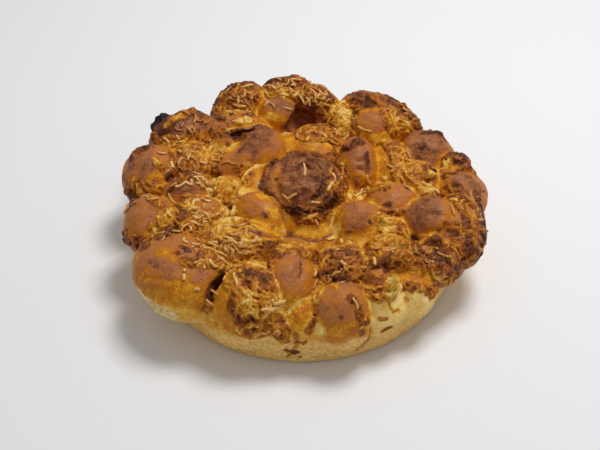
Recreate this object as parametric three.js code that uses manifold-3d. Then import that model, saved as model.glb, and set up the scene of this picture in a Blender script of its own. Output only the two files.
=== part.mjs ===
// Cheese pull-apart bread: a round loaf of dough knobs that rose together in a shallow tin.
// The lower loaf keeps the tin's sloping wall and flat underside. The knobs have swelled over its
// rim and into each other, and grated cheese has baked onto them as thin strips.
// Millimetres, +Z up. The origin is the middle of the flat underside.

import * as THREE from 'three';
import { mergeVertices } from 'three/addons/utils/BufferGeometryUtils.js';
import Module from 'manifold-3d';

// The lower loaf, shaped by the tin.
const BASE_RADIUS = 92;
const BASE_EDGE_ROUND = 2;
const RIM_RADIUS = 98;
const RIM_HEIGHT = 27;
const SHOULDER_RADIUS = 90;
const SHOULDER_HEIGHT = 36;
const MIDDLE_HEIGHT = 42;
const WALL_SIDES = 60;

// Shallow seams in the wall, where neighbouring pieces of dough were pressed together in the tin.
const SEAM_BEARINGS = [-128, -92, -68, -38, -5, 24, 50, 84, 117, 152, 186, 214];
const SEAM_DEPTH = 2.2;
const SEAM_HALF_WIDTH = 4;
const SEAM_START = 4;

// A knob is a rounded lump that isn't quite regular.
const KNOB_DETAIL = 3;
const SMALL_KNOB_DETAIL = 2;
const SMALL_KNOB = 33;
const KNOB_WOBBLE = 0.06;

// Edges shorter than this, left where knobs meet, are closed up.
const SLIVER = 1.2;

// Where each knob's middle sits in plan, how high its top is, its half sizes (along and across), the
// height from its middle to its top, and its turn in degrees. +Y is the back of the loaf.
const MIDDLE_KNOBS = [
  { at: [3, 2], top: 54, half: [31, 31], rise: 24 },
  { at: [2, 6], top: 66, half: [24, 23], rise: 17 },
  { at: [-24, -11], top: 54, half: [22, 17], rise: 20, turn: -35 },
  { at: [34, -19], top: 55, half: [17, 17], rise: 20 },
  { at: [54, -2], top: 54, half: [20, 18], rise: 21 },
  { at: [35, 33], top: 60, half: [15, 22], rise: 24 },
  { at: [-36, 45], top: 59, half: [31, 23], rise: 25, turn: 28 },
  { at: [-45, 66], top: 58, half: [25, 14], rise: 21, turn: 12 },
  { at: [6, 58], top: 50, half: [26, 22], rise: 22 },
  { at: [-69, 6], top: 56, half: [18, 14], rise: 20, turn: 15 },
  { at: [-60, -12], top: 54, half: [17, 14], rise: 20 },
  { at: [-75, -24], top: 53, half: [19, 15], rise: 20, turn: 30 },
  { at: [-42, -37], top: 53, half: [34, 20], rise: 23, turn: 8 },
  { at: [-6, -60], top: 55, half: [18, 28], rise: 24, turn: -8 },
  { at: [21, -54], top: 51, half: [23, 24], rise: 23 },
  { at: [47, -48], top: 52, half: [20, 19], rise: 22 },
  { at: [-71, 36], top: 53, half: [21, 20], rise: 20 },
  { at: [-46, 6], top: 50, half: [17, 22], rise: 22 },
  { at: [55, 39], top: 53, half: [16, 23], rise: 22 },
  { at: [50, -28], top: 48, half: [20, 17], rise: 21 },
  { at: [27, 83], top: 51, half: [13, 20], rise: 20 },
  { at: [-28, 21], top: 48, half: [21, 21], rise: 22 },
  { at: [69, 20], top: 51, half: [23, 20], rise: 22 },
];
const RIM_KNOBS = [
  { at: [-11, 100], top: 62.5, half: [22, 15], rise: 24, turn: 12 },
  { at: [8, 94], top: 59, half: [20, 15], rise: 24, turn: -34 },
  { at: [-16, 82], top: 58, half: [16, 14], rise: 20 },
  { at: [-39.5, 94], top: 60, half: [21.5, 18], rise: 23, turn: 16 },
  { at: [50, 84], top: 57, half: [32, 17], rise: 22, turn: -28 },
  { at: [48, 70], top: 57, half: [16, 15], rise: 20 },
  { at: [79, 47], top: 57, half: [19.5, 18.5], rise: 22 },
  { at: [97.5, 28.5], top: 53, half: [17, 10], rise: 15, turn: -50 },
  { at: [97, 17], top: 51, half: [18.5, 23], rise: 19 },
  { at: [76, -18], top: 57, half: [17, 17], rise: 19 },
  { at: [93, -20], top: 52, half: [15, 28], rise: 17 },
  { at: [75, -43], top: 47, half: [26, 17], rise: 15, turn: 38 },
  { at: [62, -61], top: 44, half: [16, 16], rise: 18 },
  { at: [44, -68], top: 47, half: [16, 19], rise: 22 },
  { at: [21, -81], top: 49, half: [19, 17], rise: 22 },
  { at: [-1, -81], top: 41, half: [15, 15], rise: 19 },
  { at: [-29, -73], top: 52, half: [28, 24], rise: 25 },
  { at: [-68, -55], top: 55, half: [32.5, 27], rise: 22, turn: -42 },
  { at: [-90, -16], top: 53, half: [18, 20], rise: 19 },
  { at: [-92, 30], top: 56, half: [21, 23], rise: 22 },
  { at: [-77, 66], top: 58, half: [26, 17], rise: 23, turn: 40 },
  { at: [-90, 75], top: 52, half: [9, 7], rise: 8, turn: 30 },
];

// Deep pockets and folds between knobs, where the dough didn't close.
const POCKETS = [
  { at: [-44, -70], top: 56, half: [12, 3], rise: 17, turn: 50 },
  { at: [-2, 78], top: 52, half: [12, 11], rise: 8, turn: 12 },
  { at: [77, -37], top: 47, half: [6, 3.5], rise: 8, turn: 5 },
  { at: [-37, 49], top: 66, half: [9, 2.5], rise: 11, turn: 12 },
];

// A torn face, where the largest rim knob came away: its middle, and the sizes of the slice lost.
const TORN_AT = [-83.3, -71.9, 31];
const TORN_SLICE = [50, 12, 44];
const TORN_TURN = -42;

// Grated cheese lies in patches: the middle of each patch, its radius and how many strips it has.
const CHEESE_PATCHES = [
  { at: [-54, -26], radius: 26, strips: 13 },
  { at: [-71, 38], radius: 17, strips: 5 },
  { at: [-42, 96], radius: 13, strips: 5 },
  { at: [4, 100], radius: 18, strips: 6 },
  { at: [2, 6], radius: 18, strips: 5 },
  { at: [-27, -75], radius: 17, strips: 5 },
  { at: [22, -57], radius: 15, strips: 4 },
  { at: [93, -20], radius: 14, strips: 3 },
  { at: [77, -44], radius: 15, strips: 3 },
  { at: [56, 84], radius: 15, strips: 3 },
  { at: [-82, 54], radius: 12, strips: 2 },
];
const STRIP_WIDTH = 2.6;
const STRIP_THICKNESS = 2.2;
const STRIP_LENGTHS = [8, 15];
const STRIP_BEND = 2.4;
const STRIP_STEPS = 3;
const STRIP_SUNK = 0.45;
const STEEPEST_STEP = 3.5;
const ABOVE_THE_LOAF = 200;

const wasm = await Module();
wasm.setup();

// A closed geometry as a solid that can be joined and cut.
function solidOf(geometry) {
  geometry.deleteAttribute('normal');
  geometry.deleteAttribute('uv');
  const merged = mergeVertices(geometry, 1e-4);
  return new wasm.Manifold(new wasm.Mesh({
    numProp: 3,
    vertProperties: merged.attributes.position.array,
    triVerts: new Uint32Array(merged.index.array),
  }));
}

function geometryOf(solid) {
  const mesh = solid.getMesh();
  const geometry = new THREE.BufferGeometry();
  geometry.setAttribute('position', new THREE.BufferAttribute(mesh.vertProperties, 3));
  geometry.setIndex(new THREE.BufferAttribute(mesh.triVerts, 1));
  return geometry;
}

// Moves every corner of a geometry by a function that changes the point it is given.
function reshape(geometry, change) {
  const position = geometry.attributes.position;
  const point = new THREE.Vector3();
  for (let i = 0; i < position.count; i++) {
    point.fromBufferAttribute(position, i);
    change(point);
    position.setXYZ(i, point.x, point.y, point.z);
  }
  return geometry;
}

// How far the wall is drawn in at a bearing, by the nearest seam.
function seamAt(bearing, radius) {
  const nearest = Math.min(...SEAM_BEARINGS.map((seam) => {
    const turn = THREE.MathUtils.euclideanModulo(bearing - seam + 180, 360) - 180;
    return Math.abs(THREE.MathUtils.degToRad(turn)) * radius;
  }));
  return SEAM_DEPTH * Math.exp(-((nearest / SEAM_HALF_WIDTH) ** 2));
}

// The lower loaf, turned from its half section, with seams drawn into the wall.
function lowerLoaf() {
  const section = new THREE.Path();
  section.moveTo(0, 0);
  section.lineTo(BASE_RADIUS - BASE_EDGE_ROUND, 0);
  section.quadraticCurveTo(BASE_RADIUS, 0, BASE_RADIUS + 1, BASE_EDGE_ROUND);
  section.lineTo((BASE_RADIUS + RIM_RADIUS) / 2 + 1, RIM_HEIGHT / 2);
  section.quadraticCurveTo(RIM_RADIUS + 2, RIM_HEIGHT, SHOULDER_RADIUS, SHOULDER_HEIGHT);
  section.lineTo(0, MIDDLE_HEIGHT);
  const loaf = new THREE.LatheGeometry(section.getPoints(4), WALL_SIDES).rotateX(Math.PI / 2);
  return reshape(loaf, (point) => {
    const radius = Math.hypot(point.x, point.y);
    if (radius < SHOULDER_RADIUS) return;
    const bearing = THREE.MathUtils.radToDeg(Math.atan2(point.y, point.x));
    const depth = THREE.MathUtils.clamp(point.z / SEAM_START - 1, 0, 1);
    const share = 1 - (depth * seamAt(bearing, radius)) / radius;
    point.x *= share;
    point.y *= share;
  });
}

// A lump of the given sizes, turned and set in its place.
function lump({ at, top, half, rise, turn = 0 }, seed, wobble) {
  const detail = Math.max(...half) < SMALL_KNOB ? SMALL_KNOB_DETAIL : KNOB_DETAIL;
  const geometry = reshape(new THREE.IcosahedronGeometry(1, detail), (point) => {
    const swell = Math.sin(3.1 * point.x + 1.7 * seed)
      + Math.sin(2.7 * point.y + 2.3 * seed)
      + Math.sin(2.9 * point.z + 0.9 * seed);
    point.multiplyScalar(1 + wobble * swell / 3);
  });
  return geometry
    .scale(...half, rise)
    .rotateZ(THREE.MathUtils.degToRad(turn))
    .translate(...at, top - rise);
}

// The slice that is missing from the largest rim knob.
function tornSlice() {
  return new THREE.BoxGeometry(...TORN_SLICE)
    .translate(0, -TORN_SLICE[1] / 2, 0)
    .rotateZ(THREE.MathUtils.degToRad(TORN_TURN))
    .translate(...TORN_AT);
}

// Even shares between 0 and 1 that never repeat, one for each number.
const spread = (number, ratio) => (number * ratio) % 1;
const GOLDEN = 0.6180339887;
const PLASTIC_A = 0.7548776662;
const PLASTIC_B = 0.5698402910;

// Finds the height of the crust straight below a point, or null off the loaf.
function crustBelow(crust) {
  const caster = new THREE.Raycaster();
  const down = new THREE.Vector3(0, 0, -1);
  return (x, y) => {
    caster.set(new THREE.Vector3(x, y, ABOVE_THE_LOAF), down);
    const hits = caster.intersectObject(crust);
    return hits.length ? hits[0].point.z : null;
  };
}

// One strip of grated cheese, bent a little and laid along the crust. Null where the crust is too
// steep to hold it.
function cheeseStrip(number, patch, heightAt) {
  const reach = patch.radius * Math.sqrt(spread(number, PLASTIC_A));
  const around = 2 * Math.PI * spread(number, PLASTIC_B);
  const heading = 2 * Math.PI * spread(number, GOLDEN);
  const length = THREE.MathUtils.lerp(...STRIP_LENGTHS, spread(number * 3, PLASTIC_B));
  const bend = STRIP_BEND * Math.sin(7 * number);
  const along = new THREE.Vector2(Math.cos(heading), Math.sin(heading));
  const middle = new THREE.Vector2(Math.cos(around), Math.sin(around))
    .multiplyScalar(reach).add(new THREE.Vector2(...patch.at));
  const spine = [];
  for (let step = 0; step <= STRIP_STEPS; step++) {
    const t = step / STRIP_STEPS - 0.5;
    const aside = bend * (1 - 4 * t * t);
    const x = middle.x + along.x * length * t - along.y * aside;
    const y = middle.y + along.y * length * t + along.x * aside;
    const z = heightAt(x, y);
    const last = spine.at(-1);
    if (z === null || (last && Math.abs(z - last.z) > STEEPEST_STEP)) return null;
    spine.push(new THREE.Vector3(x, y, z + STRIP_THICKNESS * (0.5 - STRIP_SUNK)));
  }
  const section = new THREE.Shape([
    new THREE.Vector2(-STRIP_WIDTH / 2, 0),
    new THREE.Vector2(0, -STRIP_THICKNESS / 2),
    new THREE.Vector2(STRIP_WIDTH / 2, 0),
    new THREE.Vector2(0, STRIP_THICKNESS / 2),
  ]);
  return new THREE.ExtrudeGeometry(section, {
    steps: STRIP_STEPS,
    bevelEnabled: false,
    extrudePath: new THREE.CatmullRomCurve3(spine),
  });
}

// The knobs, joined to the lower loaf, less the pockets between them and the torn slice.
function bareLoaf() {
  const knobs = [...MIDDLE_KNOBS, ...RIM_KNOBS].map((knob, i) => solidOf(lump(knob, i, KNOB_WOBBLE)));
  const crown = knobs.reduce((joined, knob) => joined.add(knob)).simplify(SLIVER);
  const lost = POCKETS.map((pocket, i) => solidOf(lump(pocket, i, 0)));
  lost.push(solidOf(tornSlice()));
  return lost.reduce((loaf, piece) => loaf.subtract(piece), crown.add(solidOf(lowerLoaf())));
}

// Every strip of cheese that finds a place on the crust.
function gratedCheese(loaf) {
  const crust = new THREE.Mesh(geometryOf(loaf), new THREE.MeshBasicMaterial());
  const heightAt = crustBelow(crust);
  const strips = [];
  let number = 1;
  for (const patch of CHEESE_PATCHES) {
    for (let i = 0; i < patch.strips; i++) {
      const strip = cheeseStrip(number, patch, heightAt);
      if (strip) strips.push(solidOf(strip));
      number++;
    }
  }
  return strips;
}

// The largest body of a solid, without loose scraps and with any sealed hollow filled.
function wholeBody(solid) {
  return solid.decompose().reduce((a, b) => (a.volume() > b.volume() ? a : b));
}

const loaf = bareLoaf();
const baked = wholeBody(gratedCheese(loaf).reduce((whole, strip) => whole.add(strip), loaf));

const crust = new THREE.MeshStandardMaterial({ color: 0xb9772f, roughness: 0.6, metalness: 0 });
const bread = new THREE.Mesh(geometryOf(baked), crust);
bread.name = 'loaf';

const pullApartBread = new THREE.Group();
pullApartBread.add(bread);

export default pullApartBread;
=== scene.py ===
# %% [markdown]
# # A cheese pull-apart loaf
# This lesson dresses a round loaf of bread: knobs of dough that rose into each other in a shallow
# tin, with grated cheese melted, browned and scorched over them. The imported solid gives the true
# form in few faces. Here that form is grown again as fine as a crust, coloured by how the oven
# reaches it, and strewn with shreds of cheese.

# %% Load the plain solid
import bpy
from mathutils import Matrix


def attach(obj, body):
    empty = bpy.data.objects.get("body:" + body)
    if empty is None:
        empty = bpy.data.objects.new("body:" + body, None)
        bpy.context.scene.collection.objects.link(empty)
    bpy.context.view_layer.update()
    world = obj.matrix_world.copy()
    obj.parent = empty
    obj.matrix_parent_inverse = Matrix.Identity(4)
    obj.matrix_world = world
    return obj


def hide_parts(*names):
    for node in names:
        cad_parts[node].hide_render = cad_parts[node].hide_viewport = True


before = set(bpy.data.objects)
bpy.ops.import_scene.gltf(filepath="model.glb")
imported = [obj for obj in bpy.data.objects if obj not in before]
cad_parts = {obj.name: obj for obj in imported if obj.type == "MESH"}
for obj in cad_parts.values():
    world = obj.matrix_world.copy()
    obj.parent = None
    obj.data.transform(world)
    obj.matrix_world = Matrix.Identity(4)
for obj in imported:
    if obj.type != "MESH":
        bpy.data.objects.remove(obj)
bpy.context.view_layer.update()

# %% [markdown]
# ## Tools of the lesson
# Blender counts in metres, but bread is easier to think of in millimetres. So sizes are written in
# millimetres, and MM turns them into metres where a mesh or a lens needs them. Every random draw comes
# from one generator with a fixed seed, so the loaf comes out the same each time.

# %% Tools
import math
from collections import namedtuple

import bmesh
import bpy
import numpy as np
from mathutils import Matrix, Vector, noise
from mathutils.bvhtree import BVHTree
from mathutils.kdtree import KDTree

MM = 0.001
SEED = 46
rng = np.random.default_rng(SEED)


def link(obj):
    bpy.context.scene.collection.objects.link(obj)
    return obj


print("seed of the random draws:", SEED)

# %% [markdown]
# ## The camera
# A camera is a point, a direction and a lens. Here they are the ones that the picture of the loaf
# was taken with, so a pixel of that picture is a ray into the scene. Further down, cheese and scorch
# marks are placed by such rays: what the picture shows at a pixel lies where its ray meets the crust.

# %% Camera
PHOTO_WIDTH, PHOTO_HEIGHT = 600, 450
LENS_IN_PIXELS = 1075
SENSOR_WIDTH = 36.0
VIEW_ELEVATION = math.radians(42)
VIEW_DISTANCE = 650 * MM
VIEW_TARGET = Vector((-1.3, -11.3, 33.0)) * MM
NEAREST_SEEN = 10 * MM

rightward = Vector((1, 0, 0))
forward = Vector((0, math.cos(VIEW_ELEVATION), -math.sin(VIEW_ELEVATION)))
upward = rightward.cross(forward)
eye = VIEW_TARGET - VIEW_DISTANCE * forward

camera = link(bpy.data.objects.new("camera", bpy.data.cameras.new("camera")))
camera.location = eye
camera.rotation_euler = (math.pi / 2 - VIEW_ELEVATION, 0, 0)
camera.data.sensor_width = SENSOR_WIDTH
camera.data.lens = LENS_IN_PIXELS / PHOTO_WIDTH * SENSOR_WIDTH
camera.data.clip_start = NEAREST_SEEN
bpy.context.scene.camera = camera


def sight(u, v):
    """The direction from the eye through a pixel."""
    across = (u - PHOTO_WIDTH / 2) / LENS_IN_PIXELS
    above = (PHOTO_HEIGHT / 2 - v) / LENS_IN_PIXELS
    return (forward + rightward * across + upward * above).normalized()


print("lens, mm:", round(camera.data.lens, 1))

# %% [markdown]
# ## The knobs of dough
# The baker set balls of dough side by side, and they rose into each other. Each is one row: where
# its middle lies, how high its top is, its half sizes, the height from its middle to its top, and its
# turn. They could be sculpted by hand. A table keeps them the same as in the solid.

# %% Where the knobs lie, in millimetres and degrees
Knob = namedtuple("Knob", "x y top along across rise turn")
KNOBS = {
    "skirt": Knob(3, 2, 54, 31, 31, 24, 0),
    "cap": Knob(2, 6, 66, 24, 23, 17, 0),
    "apron": Knob(-24, -11, 54, 22, 17, 20, -35),
    "right_ball": Knob(34, -19, 55, 17, 17, 20, 0),
    "right_next": Knob(54, -2, 54, 20, 18, 21, 0),
    "right_tall": Knob(35, 33, 60, 15, 22, 24, 0),
    "folded": Knob(-36, 45, 59, 31, 23, 25, 28),
    "folded_back": Knob(-45, 66, 58, 25, 14, 21, 12),
    "back_low": Knob(6, 58, 50, 26, 22, 22, 0),
    "left_ball": Knob(-69, 6, 56, 18, 14, 20, 15),
    "left_heap": Knob(-60, -12, 54, 17, 14, 20, 0),
    "left_front": Knob(-75, -24, 53, 19, 15, 20, 30),
    "front_heap": Knob(-42, -37, 53, 34, 20, 23, 8),
    "front_egg": Knob(-6, -60, 55, 18, 28, 24, -8),
    "front_dark": Knob(21, -54, 51, 23, 24, 23, 0),
    "front_right": Knob(47, -48, 52, 20, 19, 22, 0),
    "left_shreds": Knob(-71, 36, 53, 21, 20, 20, 0),
    "left_valley": Knob(-46, 6, 50, 17, 22, 22, 0),
    "right_orange": Knob(55, 39, 53, 16, 23, 22, 0),
    "right_valley": Knob(50, -28, 48, 20, 17, 21, 0),
    "back_valley": Knob(27, 83, 51, 13, 20, 20, 0),
    "heart_valley": Knob(-28, 21, 48, 21, 21, 22, 0),
    "right_low": Knob(69, 20, 51, 23, 20, 22, 0),
    "rim_back_left": Knob(-11, 100, 62.5, 22, 15, 24, 12),
    "rim_back_right": Knob(8, 94, 59, 20, 15, 24, -34),
    "rim_back_lip": Knob(-16, 82, 58, 16, 14, 20, 0),
    "rim_back_shreds": Knob(-39.5, 94, 60, 21.5, 18, 23, 16),
    "rim_ridge": Knob(50, 84, 57, 32, 17, 22, -28),
    "rim_ridge_ball": Knob(48, 70, 57, 16, 15, 20, 0),
    "rim_right_ball": Knob(79, 47, 57, 19.5, 18.5, 22, 0),
    "rim_right_crest": Knob(97.5, 28.5, 53, 17, 10, 15, -50),
    "rim_right_smooth": Knob(97, 17, 51, 18.5, 23, 19, 0),
    "rim_dark_ball": Knob(76, -18, 57, 17, 17, 19, 0),
    "rim_rough": Knob(93, -20, 52, 15, 28, 17, 0),
    "rim_rough_front": Knob(75, -43, 47, 26, 17, 15, 38),
    "rim_pale": Knob(62, -61, 44, 16, 16, 18, 0),
    "rim_pale_next": Knob(44, -68, 47, 16, 19, 22, 0),
    "rim_front_ball": Knob(21, -81, 49, 19, 17, 22, 0),
    "rim_wedge": Knob(-1, -81, 41, 15, 15, 19, 0),
    "rim_cheesy": Knob(-29, -73, 52, 28, 24, 25, 0),
    "rim_big": Knob(-68, -55, 55, 32.5, 27, 22, -42),
    "rim_left_front": Knob(-90, -16, 53, 18, 20, 19, 0),
    "rim_left": Knob(-92, 30, 56, 21, 23, 22, 0),
    "rim_left_back": Knob(-77, 66, 58, 26, 17, 23, 40),
    "burnt_tip": Knob(-90, 75, 52, 9, 7, 8, 30),
}
print("knobs:", len(KNOBS), "and the highest top, mm:", max(knob.top for knob in KNOBS.values()))

# %% [markdown]
# ## From rows to balls of dough
# A ball of dough starts as an icosphere, whose faces are all about the same size. It is stretched to
# its half sizes, turned and moved into place. No baker shapes a perfect ball, so three slow sine waves
# make it lumpy. They cost little, and each knob gets lumps of its own from its number in the table.

# %% Shape the knobs
BALL_SUBDIVISIONS = 5
KNOB_WOBBLE = 0.06
SWELLS = [(3.1, 1.7), (2.7, 2.3), (2.9, 0.9)]


def turned(degrees):
    """The plan turn of a knob, as an array."""
    return np.array(Matrix.Rotation(math.radians(degrees), 3, "Z"))


def middle_of(knob):
    return np.array((knob.x, knob.y, knob.top - knob.rise))


def halves_of(knob):
    return np.array((knob.along, knob.across, knob.rise))


def made(bm, name):
    """A mesh of what a bmesh holds. The bmesh is freed."""
    mesh = bpy.data.meshes.new(name)
    bm.to_mesh(mesh)
    bm.free()
    return mesh


def vectors_of(mesh, kind="co"):
    """The places of a mesh's vertices, or their normals, as an array."""
    flat = np.empty(3 * len(mesh.vertices), np.float32)
    mesh.vertices.foreach_get(kind, flat)
    return flat.reshape(-1, 3).astype(float)


def place_points(mesh, points):
    mesh.vertices.foreach_set("co", np.asarray(points, np.float32).ravel())
    mesh.update()


def lumps(knobs, wobble):
    """A mesh of one irregular ball for each knob, set in place."""
    bm = bmesh.new()
    for _ in knobs:
        bmesh.ops.create_icosphere(bm, subdivisions=BALL_SUBDIVISIONS, radius=1.0)
    mesh = made(bm, "lumps")
    balls = vectors_of(mesh).reshape(len(knobs), -1, 3)
    for number, (ball, knob) in enumerate(zip(balls, knobs)):
        swell = sum(np.sin(wave * ball[:, axis] + shift * number)
                    for axis, (wave, shift) in enumerate(SWELLS))
        ball *= (1 + wobble * swell / len(SWELLS))[:, None] * halves_of(knob)
        ball[:] = ball @ turned(knob.turn).T + middle_of(knob)
    place_points(mesh, balls.reshape(-1, 3) * MM)
    return mesh


knob_mesh = lumps(list(KNOBS.values()), KNOB_WOBBLE)
print("balls of dough:", len(knob_mesh.vertices), "vertices")

# %% [markdown]
# ## The lower loaf
# Below the knobs the dough took the tin's shape: a flat underside and a wall that leans out. A spun
# half section makes it, as a potter's wheel would. The section is drawn with two bent lines, one round
# the foot and one over the rim. A spin hands its faces back in any order, so they are sorted along a
# slanting line, and the mesh is the same each time.

# %% Spin the lower loaf
BASE_RADIUS, BASE_EDGE_ROUND, FOOT_FLARE = 92, 2, 1
RIM_RADIUS, RIM_HEIGHT, RIM_BULGE, WALL_BULGE = 98, 27, 2, 1
SHOULDER_RADIUS, SHOULDER_HEIGHT = 90, 36
MIDDLE_HEIGHT = 42
WALL_STEPS = 180
BEND_STEPS = 6
DOUBLES_WITHIN = 0.01
SLANT = Vector((1, math.sqrt(2), math.sqrt(3)))


def bend(start, control, end):
    """Points of a curve that leaves start for control and arrives at end."""
    start, control, end = map(np.array, (start, control, end))
    share = np.linspace(0, 1, BEND_STEPS + 1)[:, None]
    return (1 - share) ** 2 * start + 2 * share * (1 - share) * control + share ** 2 * end


def spun(bm, steps):
    """Spins all that a bmesh holds once round the upright axis, into a closed shape."""
    bmesh.ops.spin(bm, geom=bm.verts[:] + bm.edges[:], cent=(0, 0, 0), axis=(0, 0, 1),
                   angle=2 * math.pi, steps=steps, use_merge=True)
    bmesh.ops.remove_doubles(bm, verts=bm.verts, dist=DOUBLES_WITHIN * MM)
    bmesh.ops.recalc_face_normals(bm, faces=bm.faces)
    bm.verts.sort(key=lambda corner: corner.co.dot(SLANT))
    bm.faces.sort(key=lambda face: face.calc_center_median().dot(SLANT))


foot_start = (BASE_RADIUS - BASE_EDGE_ROUND, 0)
foot = bend(foot_start, (BASE_RADIUS, 0), (BASE_RADIUS + FOOT_FLARE, BASE_EDGE_ROUND))
half_way = ((BASE_RADIUS + RIM_RADIUS) / 2 + WALL_BULGE, RIM_HEIGHT / 2)
rim = bend(half_way, (RIM_RADIUS + RIM_BULGE, RIM_HEIGHT), (SHOULDER_RADIUS, SHOULDER_HEIGHT))
section = np.vstack([[(0, 0)], foot, rim, [(0, MIDDLE_HEIGHT)]])
bm = bmesh.new()
corners = [bm.verts.new((radius * MM, 0, height * MM)) for radius, height in section]
for pair in zip(corners, corners[1:]):
    bm.edges.new(pair)
spun(bm, WALL_STEPS)
lower_mesh = made(bm, "lower_loaf")
print("lower loaf:", len(lower_mesh.vertices), "vertices")

# %% [markdown]
# ## Seams down the wall
# Where two pieces of dough met at the tin, a soft groove runs down the wall. Grooves could be cut with
# a tool shape, but dough has no sharp cuts. So the wall's vertices near each seam are drawn in towards
# the middle, less and less with their distance from it.

# %% Draw the wall in along its seams
SEAM_BEARINGS = [-128, -92, -68, -38, -5, 24, 50, 84, 117, 152, 186, 214]
SEAM_DEPTH = 2.2
SEAM_START = 4
SEAM_HALF_WIDTH = 4
SEAM_INNER_RADIUS = SHOULDER_RADIUS - 1

points = vectors_of(lower_mesh) / MM
radius = np.hypot(points[:, 0], points[:, 1])
bearing = np.degrees(np.arctan2(points[:, 1], points[:, 0]))
away = (bearing[:, None] - SEAM_BEARINGS + 180) % 360 - 180
nearest = np.radians(np.abs(away).min(axis=1)) * radius
drawn_in = SEAM_DEPTH * np.exp(-(nearest / SEAM_HALF_WIDTH) ** 2) * (radius > SEAM_INNER_RADIUS)
drawn_in *= np.clip((points[:, 2] - SEAM_START) / SEAM_START, 0, 1)
points[:, :2] *= (1 - drawn_in / np.maximum(radius, 1))[:, None]
place_points(lower_mesh, points * MM)
print("seams:", len(SEAM_BEARINGS), "up to", round(drawn_in.max(), 1), "mm deep")

# %% [markdown]
# ## One skin over all of it
# Forty-odd balls and a spun body still cross each other inside. A voxel remesh wraps one even skin
# round everything, and leaves a soft crease where two knobs meet, just as dough does. Then the
# pockets that stayed open in the oven are cut with Boolean differences, and a second remesh and a
# little smoothing round their lips.

# %% Join, cut and remesh
SKIN_VOXEL = 1.25
SMOOTH_FACTOR = 0.5
LIP_ROUNDS = 2
POCKETS = [
    Knob(-44, -70, 56, 12, 3, 17, 50),
    Knob(-2, 78, 52, 12, 11, 8, 12),
    Knob(77, -37, 47, 6, 3.5, 8, 5),
    Knob(-37, 49, 66, 9, 2.5, 11, 12),
]


def together(*meshes):
    """A bmesh that holds several meshes."""
    bm = bmesh.new()
    for mesh in meshes:
        bm.from_mesh(mesh)
    return bm


def work(obj, name, kind, **settings):
    """Replaces the object's mesh by what a modifier makes of it."""
    modifier = obj.modifiers.new(name, kind)
    for setting, value in settings.items():
        setattr(modifier, setting, value)
    depsgraph = bpy.context.evaluated_depsgraph_get()
    mesh = bpy.data.meshes.new_from_object(obj.evaluated_get(depsgraph))
    obj.modifiers.clear()
    obj.data = mesh


loaf = link(bpy.data.objects.new("bread_loaf", made(together(knob_mesh, lower_mesh), "dough")))
cutter = link(bpy.data.objects.new("pocket_cutter", lumps(POCKETS, 0)))
work(loaf, "skin", "REMESH", mode="VOXEL", voxel_size=SKIN_VOXEL * MM)
work(loaf, "pockets", "BOOLEAN", operation="DIFFERENCE", solver="MANIFOLD", object=cutter)
bpy.data.objects.remove(cutter)
work(loaf, "skin", "REMESH", mode="VOXEL", voxel_size=SKIN_VOXEL * MM)
work(loaf, "smooth", "SMOOTH", factor=SMOOTH_FACTOR, iterations=LIP_ROUNDS)
print("skin:", len(loaf.data.vertices), "vertices")

# %% [markdown]
# ## Reading the skin
# Colour and relief follow from where a spot lies: on the crown of a knob or down its flank, near a
# crease or away from it, high up or on the wall. So each vertex is measured against every knob once,
# and the results are kept as arrays that the next steps share. Share says how far a vertex belongs to
# each knob, height how far up that knob it is, and crease how far it lies from the nearest crease.

# %% Measure every vertex
Skin = namedtuple("Skin", "points normals share height crease radius")
KNOB_BLEND = 1.3


def in_axes_of(points, knob):
    """Points in the axes of a knob."""
    return (points - middle_of(knob)) @ turned(knob.turn)


def measure(mesh):
    points = vectors_of(mesh) / MM
    gaps, heights = [], []
    for knob in KNOBS.values():
        local = in_axes_of(points, knob)
        unit = local / halves_of(knob)
        size = np.linalg.norm(unit, axis=1)
        gaps.append(np.linalg.norm(local, axis=1) * (1 - 1 / size))
        heights.append(unit[:, 2] / size)
    gaps, heights = np.array(gaps).T, np.array(heights).T
    nearest = np.sort(gaps, axis=1)[:, :2]
    weight = np.exp(-(gaps - nearest[:, :1]) / KNOB_BLEND)
    share = weight / weight.sum(axis=1, keepdims=True)
    return Skin(points, vectors_of(mesh, "normal"), share, heights, nearest[:, 1] - nearest[:, 0],
                np.hypot(points[:, 0], points[:, 1]))


creases = measure(loaf.data).crease
print("half of the skin lies within", round(np.median(creases), 1), "mm of a crease")

# %% [markdown]
# ## Dough that grew together
# Along a crease the two knobs pressed on each other, and the dough there is fuller than two balls that
# only touch. A Smooth modifier fills such a groove. A vertex group keeps it to the creases, so that the
# crowns stay round. The skin is measured again afterwards, and a search tree of it is kept for the rays.

# %% Even out the creases
FILL_HALF_WIDTH = 5
FILL_ROUNDS = 24
LEAST_WEIGHT = 0.05

weights = np.exp(-(creases / FILL_HALF_WIDTH) ** 2)
group = loaf.vertex_groups.new(name="creases")
for index in np.nonzero(weights > LEAST_WEIGHT)[0]:
    group.add([int(index)], weights[index], "REPLACE")
work(loaf, "even", "SMOOTH", vertex_group=group.name, factor=SMOOTH_FACTOR, iterations=FILL_ROUNDS)
loaf.vertex_groups.clear()
skin = measure(loaf.data)
level = skin.points[:, 2]
crust_tree = BVHTree.FromObject(loaf, bpy.context.evaluated_depsgraph_get())
print("creases within 3 mm:", int((skin.crease < 3).sum()), "vertices")

# %% [markdown]
# ## Steps and noise
# Nothing on a loaf starts or ends at a sharp line. A smooth step, here called fade, goes from nothing to
# all over a given range. Ripple is smooth noise for uneven dough, and bubbles are the round cells that
# Voronoi noise gives, for blisters. Each has a seed, so that two of them don't rise at the same places.

# %% Helpers for steps and noise
BUBBLE_STEEPNESS = 1.3


def fade(low, high, value):
    """0 up to low, 1 from high, and a smooth step between them."""
    t = np.clip((value - low) / (high - low), 0, 1)
    return t * t * (3 - 2 * t)


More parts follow.
